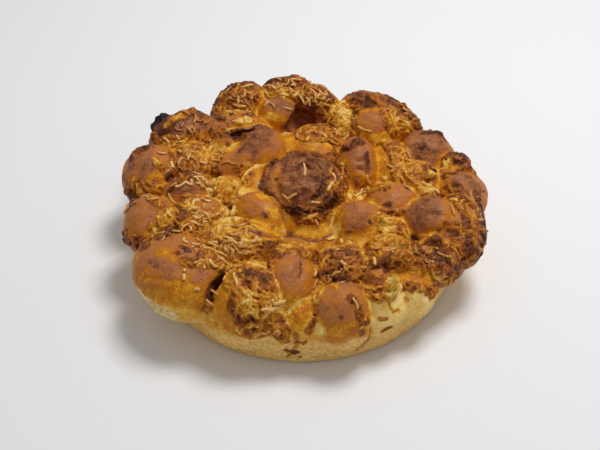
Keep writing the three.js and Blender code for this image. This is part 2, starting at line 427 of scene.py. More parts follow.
def ripple(points, size, octaves, seed):
    """Smooth noise at each point, about -1 to 1, with bumps of the given size in millimetres."""
    shift = Vector((seed, 2 * seed, 3 * seed))
    return np.array([noise.fractal(Vector(p) / size + shift, 1.0, 2.0, octaves) for p in points])


def bubbles(points, size, seed):
    """Round blisters, 0 between them and 1 on top."""
    shift = Vector((seed, 2 * seed, 3 * seed))
    depth = [noise.voronoi(Vector(p) / size + shift)[0][0] for p in points]
    return np.clip(1 - BUBBLE_STEEPNESS * np.array(depth), 0, 1)


def waves(size, octaves, seed):
    """Ripple over the whole skin."""
    return ripple(skin.points, size, octaves, seed)


print("a smooth step half way:", fade(0, 1, 0.5), "and near its end:", round(fade(0, 1, 0.9), 2))

# %% [markdown]
# ## A brush
# A painter would mark scorch and cheese on the loaf by hand, with a brush in texture or vertex paint.
# A script can do the same: a stroke is a line of pixels of the picture, each pixel's ray finds its spot
# on the crust, and the vertices near these spots take the stroke.

# %% Helpers for the brush
TRAIL_STEP = 2
BRUSH_REACH = 2.5


def seen_at(u, v):
    """The spot of crust that a pixel shows, in millimetres; for a pixel just off the loaf, the nearest."""
    spot = crust_tree.ray_cast(eye, sight(u, v))[0]
    if spot is None:
        spot = crust_tree.find_nearest(eye + VIEW_DISTANCE * sight(u, v))[0]
    return np.array(spot) / MM


def trail(pixels):
    """Spots of crust along a line of pixels, every second pixel."""
    corners = np.array([*pixels, pixels[-1]], float)
    spots = []
    for start, end in zip(corners, corners[1:]):
        steps = max(1, round(np.linalg.norm(end - start) / TRAIL_STEP))
        spots += [seen_at(*(start + (end - start) * k / steps)) for k in range(steps)]
    return np.array(spots)


def brush(radius, pixels):
    """The vertices along a line of pixels, and how near they are: 1 on the line, less over a radius."""
    spots = trail(pixels)
    low, high = spots.min(axis=0) - BRUSH_REACH * radius, spots.max(axis=0) + BRUSH_REACH * radius
    near = np.nonzero(((skin.points > low) & (skin.points < high)).all(axis=1))[0]
    away = np.linalg.norm(skin.points[near, None] - spots, axis=2).min(axis=1)
    return near, np.exp(-(away / radius) ** 2)


def stain(field, near, values):
    """Raises a field to the given values at the vertices where it lies below them."""
    field[near] = np.maximum(field[near], values)


print("the middle of the picture shows the spot", seen_at(PHOTO_WIDTH / 2, PHOTO_HEIGHT / 2).round())

# %% [markdown]
# ## How far each knob is baked
# Heat reaches the crowns first. So a knob goes from its flank's tone to its crown's tone with height,
# where 0 is pale cream, 0.3 golden, 0.6 brown and 1 nearly black. Cheese is how much of the knob lies
# under melted cheese, and toast how brown that cheese is.

# %% Looks of the knobs
Look = namedtuple("Look", "crown flank cheese toast")
LOOKS = {
    "skirt": Look(0.44, 0.26, 0.0, 0.6),
    "cap": Look(0.78, 0.66, 0.3, 0.66),
    "apron": Look(0.55, 0.21, 0.0, 0.4),
    "right_ball": Look(0.60, 0.25, 0.0, 0.4),
    "right_next": Look(0.54, 0.32, 0.0, 0.4),
    "right_tall": Look(0.63, 0.38, 0.0, 0.6),
    "folded": Look(0.60, 0.38, 0.0, 0.5),
    "folded_back": Look(0.56, 0.38, 0.5, 0.6),
    "back_low": Look(0.40, 0.30, 0.75, 0.5),
    "left_ball": Look(0.70, 0.42, 0.0, 0.5),
    "left_heap": Look(0.54, 0.34, 0.5, 0.35),
    "left_front": Look(0.58, 0.38, 0.6, 0.6),
    "front_heap": Look(0.46, 0.30, 0.7, 0.37),
    "front_egg": Look(0.60, 0.38, 0.0, 0.4),
    "front_dark": Look(0.62, 0.38, 0.7, 0.55),
    "front_right": Look(0.56, 0.34, 0.5, 0.5),
    "left_shreds": Look(0.54, 0.36, 0.8, 0.58),
    "left_valley": Look(0.18, 0.14, 0.6, 0.22),
    "right_orange": Look(0.40, 0.30, 0.9, 0.42),
    "right_valley": Look(0.24, 0.18, 0.9, 0.3),
    "back_valley": Look(0.26, 0.20, 0.7, 0.3),
    "heart_valley": Look(0.32, 0.22, 0.2, 0.3),
    "right_low": Look(0.36, 0.26, 0.75, 0.35),
    "rim_back_left": Look(0.62, 0.36, 0.6, 0.46),
    "rim_back_right": Look(0.62, 0.38, 0.75, 0.48),
    "rim_back_lip": Look(0.60, 0.40, 0.0, 0.4),
    "rim_back_shreds": Look(0.54, 0.34, 0.75, 0.45),
    "rim_ridge": Look(0.62, 0.38, 0.65, 0.6),
    "rim_ridge_ball": Look(0.64, 0.42, 0.2, 0.5),
    "rim_right_ball": Look(0.72, 0.44, 0.1, 0.6),
    "rim_right_crest": Look(0.66, 0.46, 0.7, 0.7),
    "rim_right_smooth": Look(0.60, 0.46, 0.0, 0.5),
    "rim_dark_ball": Look(0.72, 0.50, 0.0, 0.5),
    "rim_rough": Look(0.60, 0.44, 1.0, 0.77),
    "rim_rough_front": Look(0.60, 0.44, 1.0, 0.64),
    "rim_pale": Look(0.30, 0.06, 0.2, 0.45),
    "rim_pale_next": Look(0.02, 0.0, 0.0, 0.4),
    "rim_front_ball": Look(0.57, 0.36, 0.0, 0.5),
    "rim_wedge": Look(0.42, 0.22, 0.3, 0.5),
    "rim_cheesy": Look(0.38, 0.26, 0.7, 0.30),
    "rim_big": Look(0.56, 0.34, 0.0, 0.4),
    "rim_left_front": Look(0.58, 0.36, 0.1, 0.6),
    "rim_left": Look(0.50, 0.30, 0.2, 0.50),
    "rim_left_back": Look(0.83, 0.60, 0.1, 0.70),
    "burnt_tip": Look(1.0, 1.0, 0.0, 1.0),
}
looks = Look(*np.array([LOOKS[name] for name in KNOBS]).T)
print("looks:", len(LOOKS), "knobs, mean crown tone", round(looks.crown.mean(), 2))

# %% [markdown]
# ## Marks of the oven, and painted light
# Heat doesn't keep to the knobs. It scorches lips and thin edges, and leaves folds and sheltered flanks
# pale. Such marks are strokes of the brush over the tones of the knobs. A few strokes are painted light
# instead: dark painted shade along the crevice below the cap and under the lip of the fold, and paler
# painted highlights low on the back lip and on top of the big knob. Three lines are named, because later
# steps press the dough in along them too: a crevice below the cap, and two seams of the wall.

# %% Strokes that bake the crust, and a few of painted light and shade: radius in millimetres, tone, and pixels across and down
CREVICE = [(243, 229), (252, 230), (261, 234), (270, 236), (283, 236), (291, 234), (305, 238), (320, 239),
           (330, 233)]
WALL_SEAMS = [
    [(295, 334), (297, 346), (288, 358)],
    [(372, 328), (369, 341), (356, 352)],
]
BAKE_AND_PAINTED_LIGHT_STROKES = [
    (3.5, 0.24, [(248, 224), (262, 228), (280, 231)]),
    (0.9, 0.70, [(281, 211), (286, 221), (289, 231)]),
    (6, 0.52, [(255, 203), (266, 208)]),
    (5, 0.33, [(293, 224), (310, 226), (326, 221), (336, 210)]),
    (2.5, 0.22, [(298, 232), (315, 234), (329, 230)]),
    (4, 0.30, [(262, 195), (268, 203), (276, 213)]),
    (3, 0.08, [(346, 213), (339, 223), (334, 232), (331, 240)]),
    (8, 0.61, [(352, 218), (360, 216)]),
    (4, 0.32, [(372, 224), (374, 236)]),
    (9, 0.60, [(288, 272), (297, 263), (300, 282)]),
    (5, 0.44, [(276, 257), (271, 268), (271, 280), (277, 292)]),
    (4, 0.44, [(309, 260), (312, 275), (307, 292)]),
    (5, 0.40, [(152, 156), (160, 166), (160, 180)]),
    (5, 0.40, [(152, 206), (156, 216), (152, 226)]),
    (6, 0.43, [(206, 152), (212, 162), (222, 172), (236, 177)]),
    (5, 0.42, [(228, 167), (244, 172), (256, 168)]),
    (8, 0.30, [(165, 294), (188, 294)]),
    (4, 0.14, [(168, 310), (184, 315)]),
    (6, 0.38, [(221, 298), (224, 315), (230, 328)]),
    (4, 0.24, [(240, 336), (262, 339)]),
    (9, 0.60, [(330, 306), (341, 309)]),
    (4, 0.36, [(318, 325), (332, 332), (348, 330)]),
    (10, 0.76, [(424, 212), (432, 206)]),
    (7, 0.50, [(448, 206), (453, 218), (448, 228)]),
    (5, 0.40, [(436, 231), (446, 230)]),
    (6, 0.60, [(370, 121), (374, 122)]),
    (5, 0.26, [(355, 133), (375, 140), (392, 137)]),
    (5, 0.74, [(282, 103), (293, 108)]),
    (4, 0.66, [(268, 101), (280, 98)]),
    # painted highlight: a pale band low on the back lip
    (3, 0.20, [(267, 115), (274, 117), (281, 118)]),
    (6, 0.23, [(209, 146), (222, 145), (237, 143)]),
    (8, 0.76, [(266, 128), (256, 140), (246, 152)]),
    (7, 0.44, [(222, 166), (242, 165)]),
    (9, 0.65, [(146, 162), (150, 168)]),
    (8, 0.60, [(142, 211), (147, 216)]),
    (7, 0.62, [(184, 189), (192, 187)]),
    (4, 0.50, [(193, 203), (203, 207), (209, 215)]),
    (8, 0.66, [(462, 180), (474, 190)]),
    (2, 0.64, [(466, 184)]),
    (7, 0.82, [(170, 132), (185, 126), (200, 122)]),
    (7, 0.71, [(422, 157), (428, 160)]),
    (8, 0.52, [(396, 197), (404, 197)]),
    (6, 0.66, [(358, 154), (363, 166)]),
    (4, 0.32, [(345, 165), (348, 178)]),
    (4, 0.38, [(352, 177), (362, 177)]),
    (7, 0.72, [(286, 186), (296, 178), (300, 192)]),
    (3, 0.46, [(279, 168), (275, 178), (276, 188)]),
    (5, 0.74, [(180, 128), (195, 126)]),
    (3, 0.68, [(160, 262), (172, 262)]),
    (6, 0.02, [(378, 304), (383, 314), (376, 322)]),
    (5, 0.02, [(404, 304), (416, 304), (428, 300)]),
    (4, 0.06, [(312, 326), (318, 330)]),
    (2.2, 0.82, [(419, 145), (428, 148)]),
    (2.5, 0.84, [(367, 154), (369, 164), (368, 172)]),
    (2, 0.85, [(403, 185), (408, 189)]),
    (1.5, 0.85, [(263, 213), (266, 216)]),
    (1.1, 0.70, [(251, 217)]),
    (1.2, 0.60, [(273, 228)]),
    (1.4, 0.88, [(370, 221), (371, 223)]),
    (1.0, 0.75, [(361, 218)]),
    (1.5, 0.80, [(346, 232), (349, 231)]),
    (1.2, 0.80, [(341, 318)]),
    (1.6, 0.72, [(356, 182), (358, 185)]),
    (1.2, 0.80, [(420, 291)]),
    (1.1, 0.75, [(410, 288)]),
    (1.2, 0.80, [(433, 150)]),
    # painted highlight: a soft golden patch on top of the big knob
    (4, 0.42, [(160, 252), (168, 249), (174, 257)]),
    (2.5, 0.30, [(151, 178), (157, 173), (160, 178)]),
    (2.5, 0.82, [(386, 206), (390, 204)]),
    (5, 0.63, [(130, 166), (137, 157), (146, 151)]),
    (4, 0.66, [(124, 178), (128, 190)]),
    (5, 0.22, [(158, 306), (178, 312), (196, 318)]),
    (3, 0.62, [(150, 262), (165, 265)]),
    (3, 0.64, [(196, 280), (204, 272)]),
    (4, 0.70, [(182, 190), (192, 190)]),
    (4, 0.30, [(240, 215), (244, 226)]),
    (5, 0.52, [(364, 270), (376, 272), (388, 275)]),
    (6, 0.34, [(374, 146), (380, 158), (383, 168)]),
    (5, 0.36, [(286, 137), (296, 146), (312, 149), (328, 147)]),
    (3.5, 0.42, [(261, 106), (263, 112)]),
    (4, 0.37, [(402, 273), (416, 276), (430, 280)]),
    # painted shade: a dark line under the lip of the fold
    (1.8, 0.88, [(235, 134), (247, 130), (259, 126)]),
    (1.1, 0.44, [(389, 299), (390, 307), (394, 312), (399, 310)]),
    (1.0, 0.80, [(302, 262), (302, 270), (300, 277)]),
    # painted shade: the crevice below the cap, painted dark
    (0.9, 0.84, CREVICE),
    *[(1.2, 0.50, pixels) for pixels in WALL_SEAMS],
]
print("strokes that bake:", len(BAKE_AND_PAINTED_LIGHT_STROKES))

# %% [markdown]
# ## Baking
# Every vertex takes the looks of the knobs it belongs to, by its shares. Creases stay paler, since steam
# kept them soft. The outermost knobs go darker, partly since they stood by the hot tin and partly as
# painted shade at the outline of the loaf. Low on the wall the tin kept the crust pale and floury, except
# on clean dough that was torn or pulled open.

# %% Bake the crust
CROWN_HEIGHTS, CROWN_UNEVEN = (0.4, 0.95), 0.14
CREASE_HALF_WIDTH, CREASE_TONE, CREASE_PALING = 2.6, 0.17, 0.65
TOP_LEVELS = (22, 34)
STROKE_EDGE = (0.1, 0.8)
CLEAN_DOUGH = 0.05
PATCHINESS = 0.11
OUTER_RADII, OUTER_LEVELS, OUTER_BROWNING_AND_SHADE = (92, 108), (30, 45), 0.08
FLOUR_LEVELS, FLOUR_RADII, FLOUR_UNEVEN = (33, 18), (74, 88), 4
WALL_SEAM_WIDTH = 1.3


def from_knobs(values):
    """Values of the knobs, taken over by each vertex as far as it belongs to them."""
    return (skin.share * values).sum(axis=1)


def blank():
    return np.zeros(len(skin.points))


upper = fade(*CROWN_HEIGHTS, skin.height + CROWN_UNEVEN * waves(9, 2, 1.0)[:, None])
in_crease = np.exp(-(skin.crease / CREASE_HALF_WIDTH) ** 2)
on_top = fade(*TOP_LEVELS, level)
outermost = fade(*OUTER_RADII, skin.radius) * fade(*OUTER_LEVELS, level)
clean = blank()

tone = from_knobs(looks.flank + (looks.crown - looks.flank) * upper)
tone += (CREASE_TONE - tone) * CREASE_PALING * in_crease * on_top
for width, value, pixels in BAKE_AND_PAINTED_LIGHT_STROKES:
    near, strength = brush(width, pixels)
    tone[near] += (value - tone[near]) * fade(*STROKE_EDGE, strength)
    if value < CLEAN_DOUGH:
        stain(clean, near, strength)
tone += PATCHINESS * waves(7, 3, 2.0)
# darker outer knobs: real browning by the tin, and painted shade at the outline
tone += OUTER_BROWNING_AND_SHADE * outermost

for pixels in WALL_SEAMS:
    stain(clean, *brush(WALL_SEAM_WIDTH, pixels))
flour = fade(*FLOUR_LEVELS, level + FLOUR_UNEVEN * waves(16, 2, 3.0)) * fade(*FLOUR_RADII, skin.radius)
flour *= 1 - clean
print("mean tone:", round(tone.mean(), 2), "and floury:", round(100 * (flour > 0.5).mean()), "%")

# %% [markdown]
# ## Where the cheese lies
# Melted cheese pools in the creases and wherever it was strewn, pale in the valleys and dark where it
# stood closest to the heat. Each of these is one number for each vertex, from rules for the whole loaf
# and from strokes of the brush. These strokes add cheese and say how brown it is.

# %% Strokes of cheese: radius in millimetres, toast, and pixels across and down
CHEESE_STROKES = [
    (4, 0.70, [(172, 118), (185, 112), (200, 110), (208, 113)]),
    (2, 0.30, [(166, 127), (176, 121), (184, 117)]),
    (2.5, 0.80, [(186, 137), (196, 132)]),
    (3, 0.75, [(156, 130), (153, 136), (158, 142)]),
    (5, 0.36, [(165, 142), (180, 144), (195, 143), (205, 148)]),
    (3, 0.80, [(132, 158), (140, 150), (150, 147)]),
    (2.5, 0.45, [(155, 160), (162, 168)]),
    (5, 0.52, [(133, 185), (140, 188), (150, 187)]),
    (4, 0.70, [(128, 195), (135, 198)]),
    (3, 0.82, [(122, 184), (124, 195), (130, 203)]),
    (2, 0.46, [(142, 193), (155, 190), (163, 187)]),
    (2.5, 0.42, [(150, 198), (158, 203), (165, 207), (170, 213)]),
    (4, 0.72, [(170, 178), (176, 172), (182, 170), (184, 176)]),
    (5, 0.50, [(173, 158), (185, 160), (195, 165)]),
    (5, 0.30, [(192, 150), (203, 152), (208, 160)]),
    (1.8, 0.70, [(168, 192), (174, 186), (183, 181), (193, 180)]),
    (2.5, 0.48, [(186, 197), (196, 198)]),
    (3, 0.72, [(190, 217), (195, 221)]),
    (3, 0.22, [(184, 206), (191, 209)]),
    (4, 0.82, [(156, 238), (164, 235), (172, 231), (180, 226)]),
    (3, 0.60, [(183, 223), (188, 220)]),
    (4, 0.76, [(125, 235), (135, 242), (145, 246)]),
    (3, 0.34, [(152, 226), (157, 230)]),
    (4, 0.28, [(162, 216), (170, 213), (166, 222)]),
    (5, 0.46, [(192, 228), (204, 234), (213, 243)]),
    (2.0, 0.70, [(177, 252)]),
    (2.2, 0.76, [(184, 247), (188, 250)]),
    (1.8, 0.62, [(195, 248)]),
    (2.2, 0.72, [(200, 255), (205, 252)]),
    (1.6, 0.66, [(180, 245)]),
    (3, 0.50, [(184, 262), (196, 262), (207, 266)]),
    (4, 0.56, [(205, 250), (213, 258), (219, 266)]),
    (4, 0.20, [(222, 231), (235, 230), (245, 235), (258, 241)]),
    (3.5, 0.26, [(264, 243), (276, 243), (290, 244)]),
    (5, 0.42, [(235, 244), (250, 247)]),
    (4.5, 0.80, [(270, 246), (277, 249), (281, 252)]),
    (4, 0.60, [(261, 252), (268, 256)]),
    (4, 0.26, [(243, 263), (255, 266), (264, 265)]),
    (2.2, 0.56, [(272, 258), (270, 268), (270, 280), (274, 290)]),
    (5, 0.34, [(286, 247), (300, 249), (313, 247)]),
    (3.5, 0.55, [(304, 253), (315, 256), (322, 254)]),
    (6, 0.17, [(219, 180), (229, 195), (227, 210), (230, 222)]),
    (2, 0.04, [(209, 190), (217, 193), (223, 207), (228, 214)]),
    (2, 0.18, [(222, 176), (231, 182), (236, 190)]),
    (3, 0.40, [(223, 195), (226, 203)]),
    (5, 0.42, [(243, 168), (247, 181)]),
    (3, 0.80, [(216, 171), (219, 174)]),
    (4, 0.64, [(216, 134), (230, 132), (243, 134)]),
    (2.5, 0.26, [(236, 122), (250, 121), (262, 119)]),
    (5, 0.40, [(216, 112), (230, 114), (245, 112)]),
    (5, 0.58, [(232, 96), (245, 92), (254, 90)]),
    (2.5, 0.74, [(262, 187), (264, 178), (269, 168), (277, 161)]),
    (2, 0.76, [(264, 190), (271, 195), (278, 202), (286, 209)]),
    (3, 0.66, [(284, 158), (295, 155), (307, 155), (314, 157)]),
    (4, 0.60, [(320, 154), (332, 158), (340, 166), (344, 176)]),
    (4.5, 0.52, [(344, 180), (343, 190), (338, 200)]),
    (3.5, 0.64, [(332, 172), (334, 186), (330, 196)]),
    (3, 0.80, [(322, 208), (330, 205), (334, 200)]),
    (3, 0.86, [(289, 211), (300, 215), (311, 214), (324, 212)]),
    (2.5, 0.50, [(296, 220), (310, 221), (322, 218)]),
    (1.8, 0.84, [(308, 160), (315, 162), (323, 171), (325, 181), (321, 192), (314, 199)]),
    (2, 0.80, [(295, 168), (304, 163), (311, 168)]),
    (2.2, 0.92, [(326, 201), (333, 197)]),
    (2, 0.90, [(294, 208), (302, 211)]),
    (1.8, 0.90, [(303, 163), (309, 164)]),
    (3, 0.72, [(345, 148), (352, 146), (361, 142)]),
    (4, 0.28, [(373, 145), (377, 155), (379, 164)]),
    (4, 0.52, [(388, 148), (392, 162)]),
    (4, 0.40, [(368, 193), (378, 188), (388, 185)]),
    (3, 0.12, [(350, 197), (360, 198)]),
    (2.5, 0.58, [(383, 212), (395, 214), (403, 212)]),
    (5, 0.38, [(402, 178), (415, 173), (425, 171)]),
    (2.5, 0.88, [(426, 169), (433, 170)]),
    (3, 0.24, [(413, 183), (424, 187), (434, 192)]),
    (2, 0.88, [(424, 133), (436, 133), (445, 139)]),
    (4, 0.42, [(404, 150), (406, 160), (413, 168)]),
    (3, 0.82, [(451, 154), (460, 160), (469, 161)]),
    (2.5, 0.68, [(464, 168), (455, 172), (444, 176)]),
    (3, 0.24, [(440, 169), (448, 165)]),
    (3, 0.74, [(444, 189), (452, 186), (459, 189)]),
    (4, 0.64, [(445, 193), (455, 196), (465, 201), (474, 207)]),
    (3, 0.84, [(477, 205), (481, 216)]),
    (4, 0.48, [(456, 204), (465, 210), (471, 217)]),
    (3, 0.68, [(450, 208), (458, 215), (467, 221)]),
    (5, 0.63, [(465, 226), (475, 231), (478, 241)]),
    (3.5, 0.32, [(446, 228), (452, 231), (459, 235)]),
    (2, 0.60, [(440, 232), (450, 234), (458, 237)]),
    (5, 0.50, [(428, 252), (445, 250), (456, 246)]),
    (3, 0.86, [(440, 254), (445, 258)]),
    (4, 0.80, [(443, 264), (452, 267)]),
    (4, 0.60, [(455, 261), (466, 261)]),
    (4, 0.60, [(378, 263), (388, 257), (400, 256), (412, 262), (425, 267), (440, 270)]),
    (5, 0.34, [(402, 271), (412, 274), (424, 277), (435, 280)]),
    (4, 0.60, [(435, 286), (450, 280), (460, 272), (470, 262)]),
    (7, 0.30, [(384, 222), (388, 236), (384, 246)]),
    (5, 0.46, [(398, 228), (402, 240), (410, 250)]),
    (5, 0.50, [(405, 284), (416, 282), (427, 286), (433, 291)]),
    (5, 0.54, [(362, 283), (372, 288), (380, 283)]),
    (4, 0.28, [(392, 276), (394, 284), (391, 294)]),
    (3.5, 0.48, [(368, 296), (378, 296)]),
    (1.6, 0.42, [(380, 319), (386, 319)]),
    (1.3, 0.60, [(383, 331), (390, 327)]),
    (4, 0.66, [(368, 272), (375, 266), (383, 265), (392, 262)]),
    (2.5, 0.72, [(382, 266), (387, 273)]),
    (4, 0.58, [(318, 261), (330, 266), (345, 264)]),
    (3.5, 0.82, [(321, 277), (335, 279), (350, 278)]),
    (2, 0.26, [(331, 284), (337, 286)]),
    (4, 0.52, [(355, 274), (366, 281)]),
    (4, 0.42, [(322, 248), (335, 246), (348, 244)]),
    (2.5, 0.58, [(352, 298), (358, 307), (361, 317)]),
    (2.5, 0.60, [(362, 325), (363, 333)]),
    (2, 0.80, [(367, 321), (368, 323)]),
    (3.5, 0.34, [(321, 287), (318, 299)]),
    (2, 0.54, [(317, 313), (312, 325), (307, 333)]),
    (1.2, 0.58, [(296, 344), (300, 343)]),
    (1.0, 0.50, [(303, 344), (306, 342)]),
    (1.3, 0.66, [(286, 350), (289, 352)]),
    (1.7, 0.74, [(293, 354), (298, 352)]),
    (1.2, 0.62, [(300, 357), (302, 360)]),
    (0.9, 0.56, [(288, 357), (292, 358)]),
    (2.2, 0.74, [(240, 275), (250, 273), (258, 276), (264, 283)]),
    (2.5, 0.64, [(246, 283), (249, 284)]),
    (1.8, 0.74, [(233, 296), (233, 304), (229, 306)]),
    (1.8, 0.74, [(234, 313), (240, 321), (247, 324)]),
    (3.5, 0.28, [(247, 297), (251, 308), (262, 318)]),
    (2, 0.84, [(252, 319), (255, 321)]),
    (2, 0.74, [(255, 329), (257, 331)]),
    (3, 0.68, [(281, 324), (286, 331), (284, 340)]),
    (1.4, 0.70, [(259, 299), (262, 309)]),
    (4, 0.42, [(264, 325), (275, 330), (281, 336)]),
    (2.5, 0.36, [(235, 332), (250, 336), (262, 335)]),
    (2.5, 0.50, [(203, 307), (206, 311)]),
    (4, 0.66, [(300, 84), (315, 88), (328, 93)]),
    (2.5, 0.16, [(262, 95), (273, 92), (288, 92), (302, 96)]),
    (4, 0.74, [(300, 103), (312, 106), (322, 112)]),
    (4, 0.60, [(322, 116), (330, 122), (334, 128)]),
    (3.5, 0.62, [(348, 100), (356, 95), (368, 95)]),
    (2.5, 0.80, [(353, 94), (359, 101), (366, 105)]),
    (4, 0.52, [(376, 98), (388, 103), (398, 107)]),
    (3, 0.80, [(390, 103), (404, 108), (416, 119)]),
    (4, 0.32, [(390, 112), (399, 121), (408, 131)]),
    (3.5, 0.50, [(384, 112), (388, 124), (394, 133)]),
    (3.5, 0.46, [(352, 110), (351, 122), (356, 133)]),
    (3.5, 0.20, [(341, 103), (344, 115), (343, 130)]),
    (5, 0.28, [(290, 136), (305, 140), (322, 140)]),
    (4, 0.52, [(300, 131), (312, 131), (325, 134)]),
]
print("strokes of cheese:", len(CHEESE_STROKES))

# %% [markdown]
# ## Where the dough stays bare
# On steep and smooth flanks the cheese slid off, and folds opened after it had melted, so plain crust
# shows there. It is easier to take the cheese away along such lines than to paint round them.

# %% Strokes that keep the cheese off: radius in millimetres, and pixels across and down
BARE_STROKES = [
    (4.5, [(218, 292), (220, 312), (227, 328)]),
    (3.5, CREVICE),
    (4, [(250, 222), (268, 229), (285, 229), (300, 231), (318, 232)]),
    (5, [(212, 146), (224, 147), (238, 145), (252, 148)]),
    (4, [(268, 200), (278, 212), (288, 222)]),
    (6, [(446, 205), (452, 217), (448, 227)]),
    (5, [(374, 146), (380, 158), (383, 168)]),
    (3.5, [(402, 273), (416, 276), (430, 280)]),
    (4, [(288, 138), (296, 146), (312, 149), (328, 147)]),
    (5, [(262, 122), (275, 122), (284, 118)]),
]
print("strokes that keep the cheese off:", len(BARE_STROKES))

# %% [markdown]
# ## Spreading the cheese
# The rules come first: the knobs' own cheese on their upper sides, more in the creases, browner with
# height and at the rim, where the browning is partly painted shade at the outline. The strokes follow,
# and then the bare lines. Noise at two sizes frays the edge, as real cheese has no smooth outline.

# %% Spread the cheese
UPPER_SIDES = (-0.4, 0.2)
CREASE_CHEESE = 0.55
CREASE_MILDNESS, OUTER_TOAST_AND_SHADE, TOAST_UNEVEN = 0.35, 0.14, 0.18
HIGH_LEVELS, HIGH_TOAST = (40, 62), 0.25
CHEESE_SPREAD, CHEESE_EDGE = 1.25, (0.15, 0.75)
BARE_EDGE = (0.2, 0.7)
FRAY, FRAYED = 0.3, (0.05, 0.4)
COVERED, FOOT_LEVELS = (0.25, 0.85), (4, 9)

cover = from_knobs(looks.cheese) * fade(*UPPER_SIDES, from_knobs(skin.height))
cover = np.maximum(cover, CREASE_CHEESE * in_crease) * on_top
toast = from_knobs(looks.toast)
toast += (HIGH_TOAST * fade(*HIGH_LEVELS, level) - CREASE_MILDNESS * in_crease
          + TOAST_UNEVEN * waves(6, 3, 4.0))
# browner cheese at the rim: real browning, and painted shade at the outline
toast += OUTER_TOAST_AND_SHADE * outermost
for width, value, pixels in CHEESE_STROKES:
    near, strength = brush(CHEESE_SPREAD * width, pixels)
    stain(cover, near, strength)
    toast[near] += (value - toast[near]) * fade(*CHEESE_EDGE, strength)

bare = blank()
for width, pixels in BARE_STROKES:
    near, strength = brush(width, pixels)
    stain(bare, near, fade(*BARE_EDGE, strength))
cover *= 1 - bare
ragged = FRAY * waves(8, 2, 5.0) + FRAY * waves(3.5, 2, 6.0)
cover += ragged * fade(*FRAYED, cover)
cheese = fade(*COVERED, cover) * fade(*FOOT_LEVELS, level)
print("under cheese:", round(100 * (cheese > 0.5).mean()), "% of the skin")

# %% [markdown]
# ## Where green shows through
# Bits of a green herb lie under the cheese near the right rim and tint it. They are too thin for pieces
# of their own, so the brush leaves a number there for the material to read.

# %% Strokes of green: radius in millimetres, and pixels across and down
HERB_STROKES = [
    (2.6, [(393, 278), (393, 287), (393, 297)]),
    (2.0, [(397, 247), (405, 248), (412, 253)]),
    (1.6, [(381, 221), (383, 225)]),
]
herb = blank()
for width, pixels in HERB_STROKES:
    stain(herb, *brush(width, pixels))
print("green shows on", int((herb > 0.5).sum()), "vertices")

# %% [markdown]
# ## Relief of the dough
# A crust is never as smooth as a ball. Folds, cracks and lips are pressed in or raised with the brush,
# and so are the two seams of the wall. Small holes are where steam broke through. All of this is moved
# along the normals, so it is real shape and shows in the outline.

# %% Strokes that press or raise the dough: radius, height in millimetres, and pixels across and down
SCULPT_STROKES = [
    (7, -4.5, [(212, 146), (226, 145), (238, 143)]),
    (2.5, -2.0, [(234, 135), (246, 131), (257, 128)]),
    (5, 1.5, [(264, 126), (255, 138), (246, 150)]),
    (6, 2.0, [(447, 208), (451, 218), (446, 226)]),
    (3, -2.0, [(460, 206), (466, 220), (462, 233)]),
    (3, 1.2, [(266, 184), (272, 170), (284, 159), (300, 155), (320, 156), (336, 161), (345, 177),
              (344, 192), (336, 206), (322, 215), (304, 218), (288, 212), (275, 198), (266, 186)]),
    (4, 2.6, [(378, 263), (388, 257), (400, 256), (412, 262), (425, 267), (440, 270)]),
    (3, -1.5, [(395, 268), (408, 273), (422, 277)]),
    (3, -1.5, [(384, 248), (400, 247), (415, 254), (428, 260)]),
    (2.5, 1.2, [(142, 193), (155, 190), (163, 187)]),
    (3, 1.0, [(167, 126), (176, 121), (182, 118)]),
    (2.2, -1.6, [(444, 177), (458, 171), (470, 169)]),
    (2.2, -1.6, [(356, 303), (361, 318), (367, 330)]),
    (1.8, -1.6, [(358, 161), (364, 161), (369, 164)]),
    (1.8, -1.8, [(359, 169), (364, 171), (370, 171)]),
    (1.5, -1.0, [(145, 277), (155, 279), (165, 280), (171, 281)]),
    (1.6, -1.6, [(281, 211), (286, 221), (289, 232)]),
    (1.8, -1.2, [(148, 208), (156, 211)]),
    (3, -1.2, [(247, 283)]),
    (2.2, -1.5, [(253, 320)]),
    (1.8, -1.4, [(302, 196), (303, 195)]),
    (1.8, -1.0, [(288, 183), (291, 181)]),
    (2.5, -2.0, [(315, 162), (323, 171), (325, 181), (321, 192), (314, 199)]),
    (2.5, -1.6, [(281, 166), (275, 176), (276, 188), (282, 198)]),
    (2.0, -1.0, [(296, 170), (304, 164), (310, 168)]),
    (2.0, 0.8, [(290, 190), (300, 187), (310, 190)]),
    (2.2, 1.3, [(327, 201), (331, 199)]),
    (2.0, 1.2, [(296, 208), (301, 210)]),
    (1.4, -1.4, [(302, 261), (302, 270), (300, 278)]),
    (1.5, -1.6, CREVICE),
    (6, 2.2, [(302, 84), (308, 92)]),
    (2, 1.2, [(178, 251)]),
    (2, 1.3, [(187, 248)]),
    (2, 1.2, [(195, 251)]),
    (2, 1.2, [(202, 255)]),
    *[(1.9, -2.2, pixels) for pixels in WALL_SEAMS],
]
HOLE_STROKES = [
    (1.9, 3.2, [(239, 196)]),
    (1.8, 3.2, [(231, 208)]),
    (1.6, 2.8, [(213, 186)]),
    (1.5, 2.6, [(216, 178)]),
    (1.6, 2.8, [(224, 221)]),
    (1.5, 2.6, [(213, 195)]),
    (1.5, 2.6, [(235, 226)]),
    (1.7, 3.0, [(251, 229)]),
    (1.7, 3.0, [(261, 232)]),
    (2.0, 3.5, [(290, 233)]),
    (1.8, 3.0, [(427, 181)]),
    (1.4, 2.5, [(363, 189)]),
    (1.8, 4.0, [(208, 302), (210, 299)]),
    (2.8, 4.5, [(429, 243), (438, 244)]),
    (1.6, 3.5, [(413, 237), (418, 240)]),
    (1.4, 2.0, [(445, 235), (457, 235)]),
    (1.5, 2.0, [(448, 231), (456, 232)]),
]
